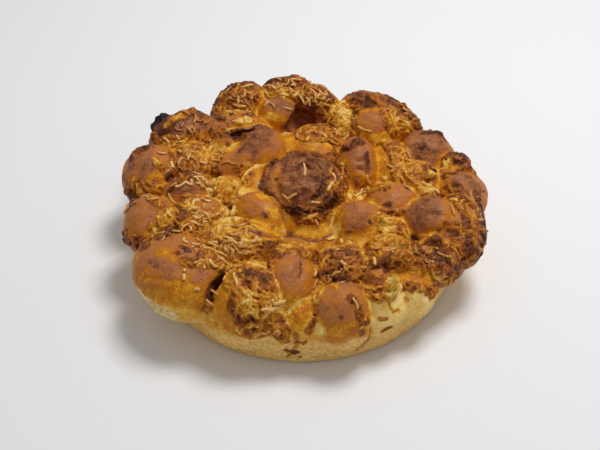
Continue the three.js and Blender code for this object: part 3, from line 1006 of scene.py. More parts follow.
print("strokes of relief:", len(SCULPT_STROKES), "and holes:", len(HOLE_STROKES))

# %% [markdown]
# ## The torn face
# One knob at the front left was torn from its neighbour and shows its crumb. A tear is nearly flat, so
# all that stands beyond a plane is moved back onto it. A Boolean cut would be as flat, but its edge
# would be sharp, and here noise can let the edge wander.

# %% Press the torn face flat
CRUMB_FACE, CRUMB_TURN, CRUMB_REACH = (-83.3, -71.9, 31), -42, 30
TORN_LEVELS, TORN_UNEVEN = (36, 28), 2.5
CRUMB_EDGE, CRUMB_UNEVEN = (-2.2, 0), 1.6

outward = turned(CRUMB_TURN) @ (0, -1, 0)
beyond = (skin.points - CRUMB_FACE) @ outward
near_face = np.linalg.norm(skin.points - CRUMB_FACE, axis=1) < CRUMB_REACH
torn = near_face * fade(*TORN_LEVELS, level + TORN_UNEVEN * waves(7, 2, 7.0))
crumb = fade(*CRUMB_EDGE, beyond + CRUMB_UNEVEN * waves(5, 2, 16.0)) * torn
points = skin.points - (np.clip(beyond, 0, None) * torn)[:, None] * outward
print("torn face:", int((crumb > 0.5).sum()), "vertices")

# %% [markdown]
# ## Uneven dough, wrinkles and crumb
# Long waves make the knobs uneven, dry dark crust wrinkles and blisters, and creases go deeper than the
# remesh left them. The floury wall is calmer, since it lay against the tin. Crumb is rough and full of
# holes, and the burnt tip has a crust of bubbles. The underside stays flat.

# %% Raise and press the dough
LONG_WAVES, SHORT_WAVES = 1.1, 0.7
DRY_TONES, WRINKLES, BLISTERS = (0.62, 0.8), 1.1, 1.2
GROOVE_DEPTH, GROOVE_HALF_WIDTH = 0.8, 2.5
WALL_CALM = 0.75
CRUMB_BUMPS, CRUMB_HOLES = 1.3, 1.2
BURNT_BUMPS, BURNT_BUBBLES, BURNT_SHRINKING = 0.9, 1.8, 1.2
UNDERSIDE_LEVELS = (0.5, 5)

lift = LONG_WAVES * waves(23, 2, 8.0) + SHORT_WAVES * waves(8, 3, 9.0)
lift += fade(*DRY_TONES, tone) * (WRINKLES * waves(3.2, 2, 10.0)
                                  + BLISTERS * bubbles(skin.points, 4.5, 15.0))
lift -= GROOVE_DEPTH * np.exp(-(skin.crease / GROOVE_HALF_WIDTH) ** 2) * on_top
for width, height, pixels in SCULPT_STROKES:
    near, strength = brush(width, pixels)
    lift[near] += height * strength
lift = lift * (1 - WALL_CALM * flour) * (1 - crumb)
lift += crumb * (CRUMB_BUMPS * waves(3.2, 3, 11.0) - CRUMB_HOLES * bubbles(skin.points, 3.5, 18.0))
lift *= fade(*UNDERSIDE_LEVELS, level)

# the burnt tip's real char; holes and pockets add painted shade to this number further down
char_and_shade = skin.share[:, list(KNOBS).index("burnt_tip")]
lift += char_and_shade * (BURNT_BUMPS * waves(4, 2, 14.0) + BURNT_BUBBLES * bubbles(skin.points, 4, 17.0)
                - BURNT_SHRINKING)
print("relief, mm:", round(lift.min(), 2), "to", round(lift.max(), 2))

# %% [markdown]
# ## Holes and pockets
# A hole is dark because little light comes out of it again. So holes are pressed in, and painted shade is
# laid in them and in the pockets cut before: they are marked as hollow, which takes a dark hollow colour,
# and they get some of the near-black char colour as well. Each pocket has its own depth of painted shade.

# %% Sink the holes and move the skin
# how much of the near-black char colour is painted into holes, and into each pocket, as shade
HOLE_SHADE = 0.75
POCKET_SHADES = [0.55, 0.2, 0.5, 0.7]
POCKET_WALL, POCKET_MOUTH = (1.35, 1.1), (0.75, 0.3)

# painted shade: holes and pockets take the hollow colour and part of the char colour
hollow = blank()
for width, depth, pixels in HOLE_STROKES:
    near, strength = brush(width, pixels)
    lift[near] = np.minimum(lift[near], -depth * strength)
    stain(hollow, near, strength)
    stain(char_and_shade, near, HOLE_SHADE * strength)
for pocket, shade in zip(POCKETS, POCKET_SHADES):
    unit = in_axes_of(skin.points, pocket) / halves_of(pocket)
    inside = fade(*POCKET_WALL, np.linalg.norm(unit, axis=1)) * fade(*POCKET_MOUTH, unit[:, 2])
    hollow = np.maximum(hollow, inside)
    char_and_shade = np.maximum(char_and_shade, shade * inside)
points += lift[:, None] * skin.normals
points[:, 2] = np.maximum(points[:, 2], 0)
place_points(loaf.data, points * MM)
loaf.data.shade_smooth()
print("hollow:", int((hollow > 0.5).sum()), "vertices")

# %% [markdown]
# ## Numbers that stay on the mesh
# A material can't see the arrays of a script, but it can read attributes of the mesh. So each array
# becomes one. Thick is the cheese once more, spread to the neighbours over some rounds, so that wide
# pools stay thick and narrow strokes thin out: that is where a layer of cheese stands up later.

# %% Keep the numbers on the mesh
THICKNESS_ROUNDS = 12


def keep(mesh, name, values):
    attribute = mesh.attributes.new(name, "FLOAT", "POINT")
    attribute.data.foreach_set("value", np.asarray(values, np.float32))


def kept(mesh, name):
    values = np.empty(len(mesh.vertices), np.float32)
    mesh.attributes[name].data.foreach_get("value", values)
    return values.astype(float)


def spread(mesh, values, rounds):
    """Values drawn towards those of the neighbouring vertices, so that narrow strokes fade."""
    flat = np.empty(2 * len(mesh.edges), np.int32)
    mesh.edges.foreach_get("vertices", flat)
    ends, others = np.concatenate([flat.reshape(-1, 2), flat.reshape(-1, 2)[:, ::-1]]).T
    count = np.bincount(ends)
    for _ in range(rounds):
        values = (values + np.bincount(ends, values[others]) / count) / 2
    return values


cheese *= 1 - hollow
thick = spread(loaf.data, cheese, THICKNESS_ROUNDS) * (1 - hollow) * (1 - bare)
fields = {"tone": tone, "cheese": cheese, "toast": toast, "thick": thick, "flour": flour, "crumb": crumb,
          "hollow": hollow, "char_and_shade": char_and_shade, "herb": herb}
for name, values in fields.items():
    keep(loaf.data, name, values)
print("attributes:", [a.name for a in loaf.data.attributes if a.data_type == "FLOAT"])

# %% [markdown]
# ## Nodes
# A material is a graph of nodes. Built by hand in the shader editor it is a page of boxes and wires, and
# in a script it is a page of calls. A few helpers keep it readable: each adds one kind of node and gives
# back the socket that the next one takes. Noise is read at Object coordinates, so it stays on the bread.

# %% Helpers for nodes
GRAINS = [(0.7, 0.0), (1.7, 0.9), (4, 0.3)]
GRAIN_DETAIL = 3


def feed(tree, node, inputs):
    """Sets the inputs of a node to values, or joins them to sockets."""
    for name, value in inputs.items():
        if isinstance(value, bpy.types.NodeSocket):
            tree.links.new(value, node.inputs[name])
        else:
            node.inputs[name].default_value = value


def add(tree, kind, inputs=None, **settings):
    """A new node with its settings and inputs."""
    node = tree.nodes.new(kind)
    for name, value in settings.items():
        setattr(node, name, value)
    feed(tree, node, inputs or {})
    return node


def reading(tree, name):
    return add(tree, "ShaderNodeAttribute", attribute_name=name).outputs["Fac"]


def grain(tree, size, detail, seed):
    """Noise of the given bump size in millimetres, 0 to 1."""
    place = add(tree, "ShaderNodeTexCoord").outputs["Object"]
    moved = add(tree, "ShaderNodeMapping", {"Vector": place, "Location": (seed, seed, seed)})
    return add(tree, "ShaderNodeTexNoise", {"Vector": moved.outputs[0], "Scale": 1 / (size * MM),
                                            "Detail": detail}).outputs["Fac"]


def new_material(name):
    material = bpy.data.materials.new(name)
    material.use_nodes = True
    return material, material.node_tree, material.node_tree.nodes["Principled BSDF"]


print("grains of the crust, mm:", [size for size, _ in GRAINS])

# %% [markdown]
# ## Mixing numbers and colours
# What reaches a shader is worked out from numbers and colours on the way. These helpers add and mix
# numbers, turn a number into a colour with a ramp, and lay one colour over another. Colours are written
# as a picture shows them, and paint turns them into the light that a shader works with.

# %% Helpers for numbers and colours
def sum_of(tree, a, b, factor=1.0, offset=0.0):
    """a + factor * b + offset."""
    scaled = add(tree, "ShaderNodeMath", {0: b, 1: factor, 2: offset}, operation="MULTIPLY_ADD")
    return add(tree, "ShaderNodeMath", {0: a, 1: scaled.outputs[0]}, operation="ADD").outputs[0]


def uneven(tree, value, *grains):
    """A value that grains move up and down, each by its amount."""
    for noise_value, amount in grains:
        value = sum_of(tree, value, noise_value, amount, -amount / 2)
    return value


def between(tree, value, low, high):
    """Value taken from low..high to 0..1, smoothly."""
    return add(tree, "ShaderNodeMapRange", {"Value": value, "From Min": low, "From Max": high},
               interpolation_type="SMOOTHSTEP").outputs["Result"]


def mixed(tree, share, low, high):
    """A number that goes from low to high with a share."""
    return add(tree, "ShaderNodeMix", {0: share, 2: low, 3: high}, data_type="FLOAT").outputs[0]


def bumped(tree, height, strength, depth):
    """Normals of a surface that is rough to the given depth in millimetres."""
    return add(tree, "ShaderNodeBump", {"Height": height, "Strength": strength,
                                        "Distance": depth * MM}).outputs["Normal"]


def paint(red, green, blue):
    """A colour as a picture shows it, 0 to 255, as the light that a shader wants."""
    shares = [c / 255 for c in (red, green, blue)]
    return (*[c / 12.92 if c <= 0.04045 else ((c + 0.055) / 1.055) ** 2.4 for c in shares], 1)


def ramp(tree, value, stops):
    node = add(tree, "ShaderNodeValToRGB", {"Fac": value})
    points = node.color_ramp.elements
    while len(points) < len(stops):
        points.new(1.0)
    for point, (where, colour) in zip(points, stops):
        point.position = where
        point.color = paint(*colour)
    return node.outputs["Color"]


def over(tree, share, under, top):
    """Top colour laid over another by a share."""
    return add(tree, "ShaderNodeMix", {0: share, 6: under, 7: top}, data_type="RGBA").outputs[2]


print("golden crust as light:", [round(c, 2) for c in paint(220, 150, 20)[:3]])

# %% [markdown]
# ## The crust
# One material reads the numbers that the mesh keeps. A colour ramp turns tone into crust, from cream over
# gold to dark brown. Flour, melted cheese, green and crumb are laid over it one after another, and then
# hollow and char: a dark red-brown that is painted shade in holes and pockets, and a near-black that is
# the burnt tip's real char and also painted shade deep in holes and pockets. Noise breaks the edges of
# flour and cheese. Fine pores then vary the brightness. Fat makes cheese shinier than dry crust, so the
# roughness follows along, and a thin clear coat stands for the fat that came to the surface.

# %% Colours of the crust
CRUST_TONES = [
    (0.00, (255, 217, 134)),
    (0.14, (234, 190, 84)),
    (0.28, (220, 150, 20)),
    (0.42, (187, 108, 8)),
    (0.56, (184, 113, 55)),
    (0.70, (157, 96, 58)),
    (0.85, (104, 54, 20)),
    (1.00, (48, 23, 9)),
]
CHEESE_TONES = [
    (0.00, (238, 198, 110)),
    (0.18, (216, 154, 42)),
    (0.40, (186, 112, 16)),
    (0.60, (146, 77, 18)),
    (0.80, (102, 50, 14)),
    (1.00, (68, 31, 10)),
]
FLOUR_TONES = [(0.3, (204, 154, 78)), (0.5, (230, 186, 106)), (0.7, (246, 206, 128))]
CRUMB_TONES = [(0.3, (178, 124, 62)), (0.42, (226, 188, 122)), (0.65, (252, 230, 178))]
# painted shade of holes and pockets, dark red-brown
HOLLOW_SHADE_TONES = [(0.35, (124, 52, 14)), (0.65, (194, 106, 50))]
# the burnt tip's real char, which holes and pockets also take as painted shade
CHAR_AND_SHADE_TONES = [(0.35, (18, 11, 9)), (0.65, (46, 33, 27))]
GREEN_TINT = (150, 128, 40)
print("colours of crust and cheese:", len(CRUST_TONES), "and", len(CHEESE_TONES))

# %% [markdown]
# ## Layers of one material
# Crust and melted cheese are one material, made twice. Each spot of either mesh carries both a tone and a
# toast, so a thin film of cheese runs into bare crust without a seam. Only the fat differs. The crust has
# no ropes of cheese, and an attribute that a mesh doesn't have reads as 0.

# %% Crust material
GREEN_SHARE = 0.75
DRY_ROUGHNESS, FAT_ROUGHNESS, FLOUR_ROUGHNESS, CRUMB_ROUGHNESS = 0.5, 0.33, 0.85, 0.9
COAT_ROUGHNESS = 0.27
CRUST_GLOSS, CRUST_FAT = 0.14, 0.09


def bread_material(name, gloss, fat):
    material, tree, shader = new_material(name)
    fine, middling, coarse = (grain(tree, size, GRAIN_DETAIL, seed) for size, seed in GRAINS)
    baked = uneven(tree, reading(tree, "tone"), (fine, 0.44), (middling, 0.24), (coarse, 0.34))
    floured = between(tree, uneven(tree, reading(tree, "flour"), (coarse, 0.5)), 0.2, 0.8)
    melted = between(tree, uneven(tree, reading(tree, "cheese"), (coarse, 0.5)), 0.1, 0.6)
    browned = sum_of(tree, reading(tree, "toast"), reading(tree, "rope"))
    browned = uneven(tree, browned, (coarse, 0.66), (middling, 0.5), (fine, 0.6))
    green = add(tree, "ShaderNodeMath", {0: reading(tree, "herb"), 1: GREEN_SHARE}, operation="MULTIPLY")
    torn = reading(tree, "crumb")

    colour = ramp(tree, baked, CRUST_TONES)
    for share, top in [
        (floured, ramp(tree, grain(tree, 2.2, 5, 1.1), FLOUR_TONES)),
        (melted, ramp(tree, browned, CHEESE_TONES)),
        (green.outputs[0], paint(*GREEN_TINT)),
        (torn, ramp(tree, grain(tree, 2.4, 3, 1.3), CRUMB_TONES)),
        # painted shade in holes and pockets, then real char together with more painted shade
        (reading(tree, "hollow"), ramp(tree, coarse, HOLLOW_SHADE_TONES)),
        (reading(tree, "char_and_shade"), ramp(tree, middling, CHAR_AND_SHADE_TONES)),
    ]:
        colour = over(tree, share, colour, top)
    pores = add(tree, "ShaderNodeMapRange", {"Value": grain(tree, 0.9, 4, 1.7), "From Min": 0.3,
                                             "From Max": 0.7, "To Min": 0.9, "To Max": 1.1})
    pored = add(tree, "ShaderNodeHueSaturation", {"Color": colour, "Value": pores.outputs["Result"]})

    rough = mixed(tree, floured, mixed(tree, melted, DRY_ROUGHNESS, FAT_ROUGHNESS), FLOUR_ROUGHNESS)
    relief = sum_of(tree, sum_of(tree, fine, middling, 1.2), coarse, 1.5)
    feed(tree, shader, {
        "Base Color": pored.outputs["Color"],
        "Roughness": mixed(tree, torn, rough, CRUMB_ROUGHNESS),
        "Specular IOR Level": gloss,
        "Coat Weight": fat,
        "Coat Roughness": COAT_ROUGHNESS,
        "Normal": bumped(tree, relief, 1.0, 0.5),
    })
    return material


loaf.data.materials.clear()
loaf.data.materials.append(bread_material("baked_crust", CRUST_GLOSS, CRUST_FAT))
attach(loaf, "root")
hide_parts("loaf")
print("crust:", len(loaf.data.polygons), "faces")

# %% [markdown]
# ## Melted cheese
# The cheese is a layer of its own, about a millimetre thick, and far finer in detail than dough: the
# grated shreds slumped into ropes and blisters and kept some of their shape. So the covered part of
# the crust is copied and subdivided once, which gives it enough vertices for such detail. A plain
# Solidify would be even all over, as no cheese is.

# %% Copy the part of the crust under cheese
THINNEST, FULL_THICKNESS = 0.15, 0.8


def covered_part(mesh, name, least):
    """A copy of the faces that lie under cheese."""
    bm = together(mesh)
    layer = bm.verts.layers.float["thick"]
    uncovered = [face for face in bm.faces if min(v[layer] for v in face.verts) < least]
    bmesh.ops.delete(bm, geom=uncovered, context="FACES")
    return made(bm, name)


melted = link(bpy.data.objects.new("melted_cheese", covered_part(loaf.data, "melted_cheese", THINNEST)))
work(melted, "finer", "SUBSURF", levels=1, render_levels=1)
places, facing = vectors_of(melted.data) / MM, vectors_of(melted.data, "normal")
print("cheese before it is raised:", len(places), "vertices")

# %% [markdown]
# ## Ropes of cheese
# A slumped shred is a low ridge with a round back. Thousands of them are laid at random: each picks a
# vertex, a direction along the surface, a length, a width, a slight bow and a brownness of its own, and
# raises the vertices under it. Where two cross, the higher one wins, as the upper shred does.

# %% Lay the ropes
VERTICES_PER_ROPE = 42.31
ROPE_LENGTHS = (5, 11)
ROPE_RADII = (0.7, 1.5)
ROPE_BACKS = (0.55, 1)
ROPE_BOW = 0.16


def ropes(points, normals, count):
    """Height and toast of short ropes laid at random over the points, 0 to 1 and about -1 to 1."""
    tree = KDTree(len(points))
    for index, point in enumerate(points):
        tree.insert(point, index)
    tree.balance()
    height, shade = np.zeros(len(points)), np.zeros(len(points))
    for seat in rng.integers(len(points), size=count):
        run = np.cross(normals[seat], rng.normal(size=3))
        run /= np.linalg.norm(run)
        length, radius, brown = rng.uniform(*ROPE_LENGTHS), rng.uniform(*ROPE_RADII), rng.normal()
        bow = np.cross(normals[seat], run) * rng.normal(0, ROPE_BOW) * length
        reach = tree.find_range(points[seat], length / 2 + radius)
        near = np.array([index for _, index, _ in reach])
        away = points[near] - points[seat]
        along = np.clip(away @ run, -length / 2, length / 2)
        bent = bow * (2 * along / length)[:, None] ** 2
        off = np.linalg.norm(away - along[:, None] * run - bent, axis=1) / radius
        ridge = rng.uniform(*ROPE_BACKS) * np.sqrt(np.clip(1 - off ** 2, 0, 1))
        higher = ridge > height[near]
        height[near[higher]] = ridge[higher]
        shade[near[higher]] = brown
    return height, shade


rope, rope_shade = ropes(places, facing, int(len(places) / VERTICES_PER_ROPE))
print("under ropes:", round(100 * (rope > 0).mean()), "% of the cheese")

# %% [markdown]
# ## Raising the cheese
# The layer stands up by its thickness, with ropes and blisters on it. Its rim dips under the crust, so
# no edge shows. The rope attribute colours it: the furrows between the ropes are browner and the rope
# tops paler, partly as cheese that browned in thin films and pale ridges, and partly as painted shade in
# the furrows and painted highlight on the tops. Each rope has its own tone. Flat parts then have more
# faces than they need, and Decimate takes those away.

# %% Raise the melted cheese
RIM_DIP, LAYER_HEIGHT = 0.4, 0.7
ROPE_HEIGHT, BLISTER_HEIGHT, RIPPLE_HEIGHT = 1.7, 0.45, 0.25
FURROW_TOAST_AND_SHADE, ROPE_PALING_AND_HIGHLIGHT, ROPE_VARIETY = 0.12, 0.28, 0.14
MELTED_TRIANGLES = 185_000
MELTED_GLOSS, MELTED_FAT = 0.14, 0.1

body = fade(THINNEST, FULL_THICKNESS, kept(melted.data, "thick"))
texture = ROPE_HEIGHT * rope + BLISTER_HEIGHT * bubbles(places, 3.4, 12.0)
texture += RIPPLE_HEIGHT * ripple(places, 1.8, 2, 13.0)
raised = -RIM_DIP + LAYER_HEIGHT * body + body * texture
place_points(melted.data, (places + raised[:, None] * facing) * MM)
# browner furrows and paler rope tops: partly real browning, partly painted shade and painted highlight
keep(melted.data, "rope", body * (FURROW_TOAST_AND_SHADE + (ROPE_VARIETY * rope_shade - ROPE_PALING_AND_HIGHLIGHT) * rope))
work(melted, "thinner", "DECIMATE", ratio=min(1, MELTED_TRIANGLES / (2 * len(melted.data.polygons))))
melted.data.shade_smooth()
melted.data.materials.clear()
melted.data.materials.append(bread_material("melted_cheese", MELTED_GLOSS, MELTED_FAT))
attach(melted, "root")
print("melted cheese:", len(melted.data.polygons), "faces, up to", round(raised.max(), 1), "mm high")

# %% [markdown]
# ## Shreds of cheese
# Grated cheese keeps its shape where it dried before it could melt. Each shred is a short plump worm
# that creeps over the crust: its spine goes forward a little, is put back onto the crust, turns, and
# goes on. Others are laid along a line of pixels, and a few strands hang free from knob to knob.

# %% Spines that lie on the crust
SPINE_POINTS = 10
WORM_STEP = 1.6
bm = together(loaf.data, melted.data)
finished = BVHTree.FromBMesh(bm)
bm.free()


def crawl(start, heading, length, curls):
    """A line that creeps over the crust from a place in millimetres, and the normals along it."""
    spot, normal = finished.find_nearest(Vector(start) * MM)[:2]
    run = Vector((math.cos(heading), math.sin(heading), 0))
    spine, normals = [], []
    for curl in curls:
        spine.append(spot / MM)
        normals.append(normal)
        run = (run - normal * run.dot(normal)).normalized()
        run.rotate(Matrix.Rotation(curl, 3, normal))
        spot, normal = finished.find_nearest(spot + run * length / len(curls) * MM)[:2]
    return np.array(spine), np.array(normals)


def lain(pixels):
    """A line over the crust under a line of pixels, and the normals along it."""
    corners = np.array(pixels, float)
    runs = np.append(0, np.cumsum(np.linalg.norm(np.diff(corners, axis=0), axis=1)))
    marks = np.linspace(0, runs[-1], SPINE_POINTS)
    line = np.stack([np.interp(marks, runs, corners[:, axis]) for axis in (0, 1)], axis=1)
    spot, spine, normals = Vector(seen_at(*line[0])) * MM, [], []
    for pixel in line:
        seen = finished.ray_cast(eye, sight(*pixel))[0]
        if seen is None or (seen - spot).length > WORM_STEP * MM:
            seen = eye + (spot - eye).length * sight(*pixel)
        spot, normal = finished.find_nearest(seen)[:2]
        spine.append(spot / MM)
        normals.append(normal)
    return np.array(spine), np.array(normals)


def hung(start, end):
    """A straight line from one place to another in millimetres, and upright normals along it."""
    share = np.linspace(0, 1, SPINE_POINTS)[:, None]
    return start + (end - start) * share, np.tile((0.0, 0.0, 1.0), (SPINE_POINTS, 1))


print("a spine has", SPINE_POINTS, "points, at most", WORM_STEP, "mm apart")

# %% [markdown]
# ## The body of a shred
# Rings of corners round the spine make the body, a little flat, uneven in width and rounded at both ends.
# A bevelled curve could do this too, but hundreds of curves are slow. Here all shreds are joined into one
# mesh from arrays at once, and each carries its own toast as a number.

# %% Bodies for the spines
AROUND = 8
FLATNESS = 0.75
TAPER, TAPER_POWER = 0.75, 6
WIDTH_VARIETY = (0.85, 1.15)
EASING = (0.1, 0.2, 0.4, 0.2, 0.1)
TINY = 1e-9


def eased(values):
    """Values along a line, each drawn towards its neighbours."""
    padded = np.pad(values, ((2, 2), (0, 0)), mode="edge")
    return sum(weight * padded[k:k + len(values)] for k, weight in enumerate(EASING))


def unit_rows(vectors):
    return vectors / (np.linalg.norm(vectors, axis=1, keepdims=True) + TINY)


def shred_rings(spine, normals, width, lift):
    """The rings of corners of a shred."""
    spine, normals = eased(spine), eased(normals)
    run = unit_rows(np.gradient(spine, axis=0))
    side = unit_rows(np.cross(run, normals))
    up = np.cross(side, run)
    along = np.linspace(-1, 1, SPINE_POINTS)
    radius = width / 2 * (1 - TAPER * along ** TAPER_POWER) * rng.uniform(*WIDTH_VARIETY, SPINE_POINTS)
    angle = np.arange(AROUND) * 2 * math.pi / AROUND
    ring = side[:, None] * np.cos(angle)[:, None] + FLATNESS * up[:, None] * np.sin(angle)[:, None]
    return (spine + up * lift)[:, None] + radius[:, None, None] * ring


def joined(name, shreds):
    """One mesh of many shreds, given as (rings, toast)."""
    rings = np.array([rings for rings, _ in shreds])
    ring = np.arange(SPINE_POINTS - 1)[:, None] * AROUND
    here, there = np.arange(AROUND), (np.arange(AROUND) + 1) % AROUND
    quads = np.stack([ring + here, ring + there, ring + AROUND + there, ring + AROUND + here], axis=-1)
    first = np.arange(len(rings)) * SPINE_POINTS * AROUND
    quads = (quads.reshape(1, -1, 4) + first[:, None, None]).reshape(-1, 4)
    ends = [list(f + here[::-1]) for f in first]
    ends += [list(f + (SPINE_POINTS - 1) * AROUND + here) for f in first]
    mesh = bpy.data.meshes.new(name)
    mesh.from_pydata(rings.reshape(-1, 3) * MM, [], quads.tolist() + ends)
    keep(mesh, "toast", np.repeat([toast for _, toast in shreds], SPINE_POINTS * AROUND))
    mesh.shade_smooth()
    return mesh


print("corners of one shred:", SPINE_POINTS * AROUND)

# %% [markdown]
# ## Heaps of shreds
# Where much cheese was dropped, shreds lie in heaps. A heap is a pixel of the picture, a spread in
# millimetres, a number of shreds and how brown they are. A shred that would leap over a gap is dropped
# and tried again elsewhere, so that none hangs in the air.

# %% Heaps: pixels across and down, spread, number and toast
HEAPS = [
    (203, 220, 13, 56, 0.26), (224, 243, 15, 64, 0.3), (200, 181, 8, 10, 0.25), (183, 158, 13, 26, 0.4),
    (242, 97, 13, 32, 0.42), (285, 85, 9, 18, 0.38), (315, 93, 12, 38, 0.38), (352, 265, 10, 12, 0.45),
    (328, 135, 8, 8, 0.35), (365, 192, 6, 6, 0.25), (382, 250, 8, 8, 0.35), (247, 248, 9, 12, 0.35),
    (138, 200, 8, 6, 0.5), (475, 220, 10, 14, 0.55), (472, 200, 8, 10, 0.55), (447, 265, 11, 14, 0.55),
    (422, 255, 9, 10, 0.55), (400, 107, 12, 18, 0.5), (190, 124, 11, 14, 0.5), (205, 145, 8, 10, 0.4),
    (165, 235, 8, 10, 0.5), (325, 283, 6, 6, 0.4), (345, 110, 7, 8, 0.4), (220, 160, 8, 8, 0.4),
    (275, 330, 8, 6, 0.45), (405, 165, 9, 10, 0.4),
]
print("shreds in heaps:", sum(count for _, _, _, count, _ in HEAPS))

# %% [markdown]
# ## Shreds laid one by one
# Pale curls that catch the eye lie where the picture shows them. Each is a line of pixels, with its
# width and its toast. Three strands hang across a gap between two knobs, and one spike of cheese stands
# out over the rim.

# %% Single shreds: width in millimetres, toast, and pixels across and down
WORMS = [
    (2.2, 0.10, [(171, 161), (173, 169)]),
    (1.8, 0.12, [(192, 178), (200, 174), (207, 179), (209, 187)]),
    (1.7, 0.16, [(195, 183), (201, 184), (206, 189)]),
    (1.8, 0.22, [(163, 137), (167, 140), (170, 145)]),
    (1.8, 0.25, [(176, 135), (180, 141)]),
    (1.7, 0.20, [(190, 143), (192, 147), (193, 151)]),
    (1.6, 0.28, [(185, 150), (192, 153), (199, 152)]),
    (2.0, 0.14, [(183, 206), (189, 203), (192, 209)]),
    (1.4, 0.24, [(146, 200), (154, 199), (161, 195)]),
    (2.1, 0.12, [(184, 274), (184, 281)]),
    (1.6, 0.12, [(185, 269), (184, 272)]),
    (1.8, 0.30, [(193, 264), (199, 261), (205, 261)]),
    (1.9, 0.18, [(187, 212), (192, 208), (197, 209)]),
    (2.0, 0.16, [(191, 216), (198, 219), (205, 214)]),
    (1.9, 0.20, [(186, 222), (194, 222), (201, 227)]),
    (1.8, 0.26, [(181, 232), (183, 226), (190, 223)]),
    (2.0, 0.22, [(203, 211), (209, 217), (211, 225)]),
    (1.9, 0.18, [(200, 232), (208, 235), (216, 232)]),
    (2.0, 0.20, [(207, 227), (215, 236), (220, 247)]),
    (1.8, 0.24, [(209, 240), (218, 243), (227, 250)]),
    (1.9, 0.20, [(212, 251), (221, 252), (229, 258)]),
    (1.8, 0.22, [(222, 237), (231, 239), (239, 246)]),
    (1.9, 0.26, [(225, 246), (234, 249), (243, 255)]),
    (1.7, 0.30, [(216, 257), (224, 261), (231, 266)]),
    (1.8, 0.18, [(237, 262), (244, 266), (251, 265)]),
    (1.7, 0.32, [(196, 236), (203, 240), (207, 249)]),
    (1.7, 0.22, [(218, 225), (226, 231)]),
    (1.6, 0.20, [(193, 291), (197, 288), (200, 291)]),
    (2.0, 0.14, [(234, 273), (236, 281), (239, 289)]),
    (1.9, 0.12, [(261, 290), (265, 293), (263, 298)]),
    (2.1, 0.14, [(272, 304), (280, 303), (287, 300)]),
    (1.9, 0.16, [(260, 310), (267, 309), (273, 312)]),
    (1.7, 0.22, [(271, 299), (276, 306)]),
    (1.9, 0.18, [(313, 268), (316, 272), (313, 277)]),
    (1.7, 0.24, [(351, 297), (356, 303), (358, 310)]),
    (2.0, 0.22, [(340, 261), (347, 266)]),
    (1.8, 0.26, [(325, 250), (333, 252), (341, 249)]),
    (1.7, 0.30, [(222, 244), (229, 240), (236, 244)]),
    (1.6, 0.14, [(315, 218), (318, 226)]),
    (1.4, 0.24, [(169, 188), (178, 183), (188, 181)]),
    (1.4, 0.28, [(168, 192), (171, 200), (177, 205)]),
    (1.7, 0.18, [(304, 162), (305, 170), (304, 178)]),
    (1.8, 0.20, [(287, 200), (292, 196), (298, 193)]),
    (1.4, 0.22, [(282, 193), (287, 198), (292, 203)]),
    (1.7, 0.24, [(310, 202), (321, 203)]),
    (2.3, 0.10, [(327, 192), (330, 186), (333, 181)]),
    (1.7, 0.14, [(330, 172), (335, 177), (334, 183)]),
    (1.8, 0.30, [(289, 81), (295, 79), (303, 81)]),
    (1.8, 0.32, [(299, 83), (308, 86), (316, 90)]),
    (1.9, 0.28, [(303, 89), (311, 91), (319, 96)]),
    (1.8, 0.34, [(312, 89), (320, 93), (328, 97)]),
    (1.8, 0.30, [(318, 94), (325, 97), (332, 102)]),
    (1.7, 0.26, [(297, 93), (302, 98), (305, 105)]),
    (1.6, 0.26, [(305, 95), (309, 100), (310, 107)]),
    (1.8, 0.24, [(305, 131), (311, 131), (318, 134)]),
    (1.7, 0.24, [(316, 133), (322, 134), (328, 139)]),
    (1.8, 0.26, [(237, 95), (240, 101), (246, 103)]),
    (1.8, 0.24, [(240, 89), (247, 86), (254, 85)]),
    (1.8, 0.28, [(233, 104), (240, 107), (247, 106)]),
    (1.6, 0.18, [(231, 122), (241, 120), (251, 121)]),
    (1.6, 0.30, [(345, 107), (348, 113), (352, 119)]),
    (1.6, 0.30, [(357, 126), (365, 130), (373, 132)]),
    (2.3, 0.58, [(411, 121), (416, 119), (421, 121)]),
    (1.7, 0.26, [(389, 152), (393, 160), (392, 168)]),
    (1.6, 0.28, [(386, 164), (393, 168), (399, 165)]),
    (1.7, 0.20, [(441, 166), (447, 162), (454, 160)]),
    (2.3, 0.10, [(375, 258), (376, 262), (375, 266)]),
    (1.8, 0.18, [(429, 186), (435, 190), (441, 194)]),
    (1.8, 0.26, [(449, 188), (455, 192), (459, 197)]),
    (1.7, 0.40, [(446, 205), (452, 211), (455, 219)]),
    (1.7, 0.44, [(455, 203), (462, 208), (466, 215)]),
    (1.7, 0.46, [(436, 252), (445, 256), (453, 258)]),
]
STRANDS = [((225, 271), (232, 281)), ((210, 289), (220, 296)), ((205, 299), (214, 306))]
SPIKE_ROOT = (478, 229)
SPIKE_REACH = (6, -2.5, 0.5)
print("single shreds:", len(WORMS), "and strands:", len(STRANDS))

# %% [markdown]
# ## Strewing
# The shreds are drawn in a fixed order from the one generator: first the strands, then the single ones,
# then the heaps. Geometry Nodes could scatter copies of a few shreds, but copies don't bend to follow
# the crust, and these do.

# %% Strew the shreds
SHRED_WIDTHS = (1.2, 2.0)
SHRED_LENGTHS = (5, 11)
SHRED_LIFTS = (0.1, 0.5)
CURL, TOAST_VARIETY, TRIES = 0.22, 0.12, 3
WORM_LIFT = 0.3
STRAND_WIDTH, STRAND_TOAST, SPIKE_TOAST = 1.8, 0.4, 0.6


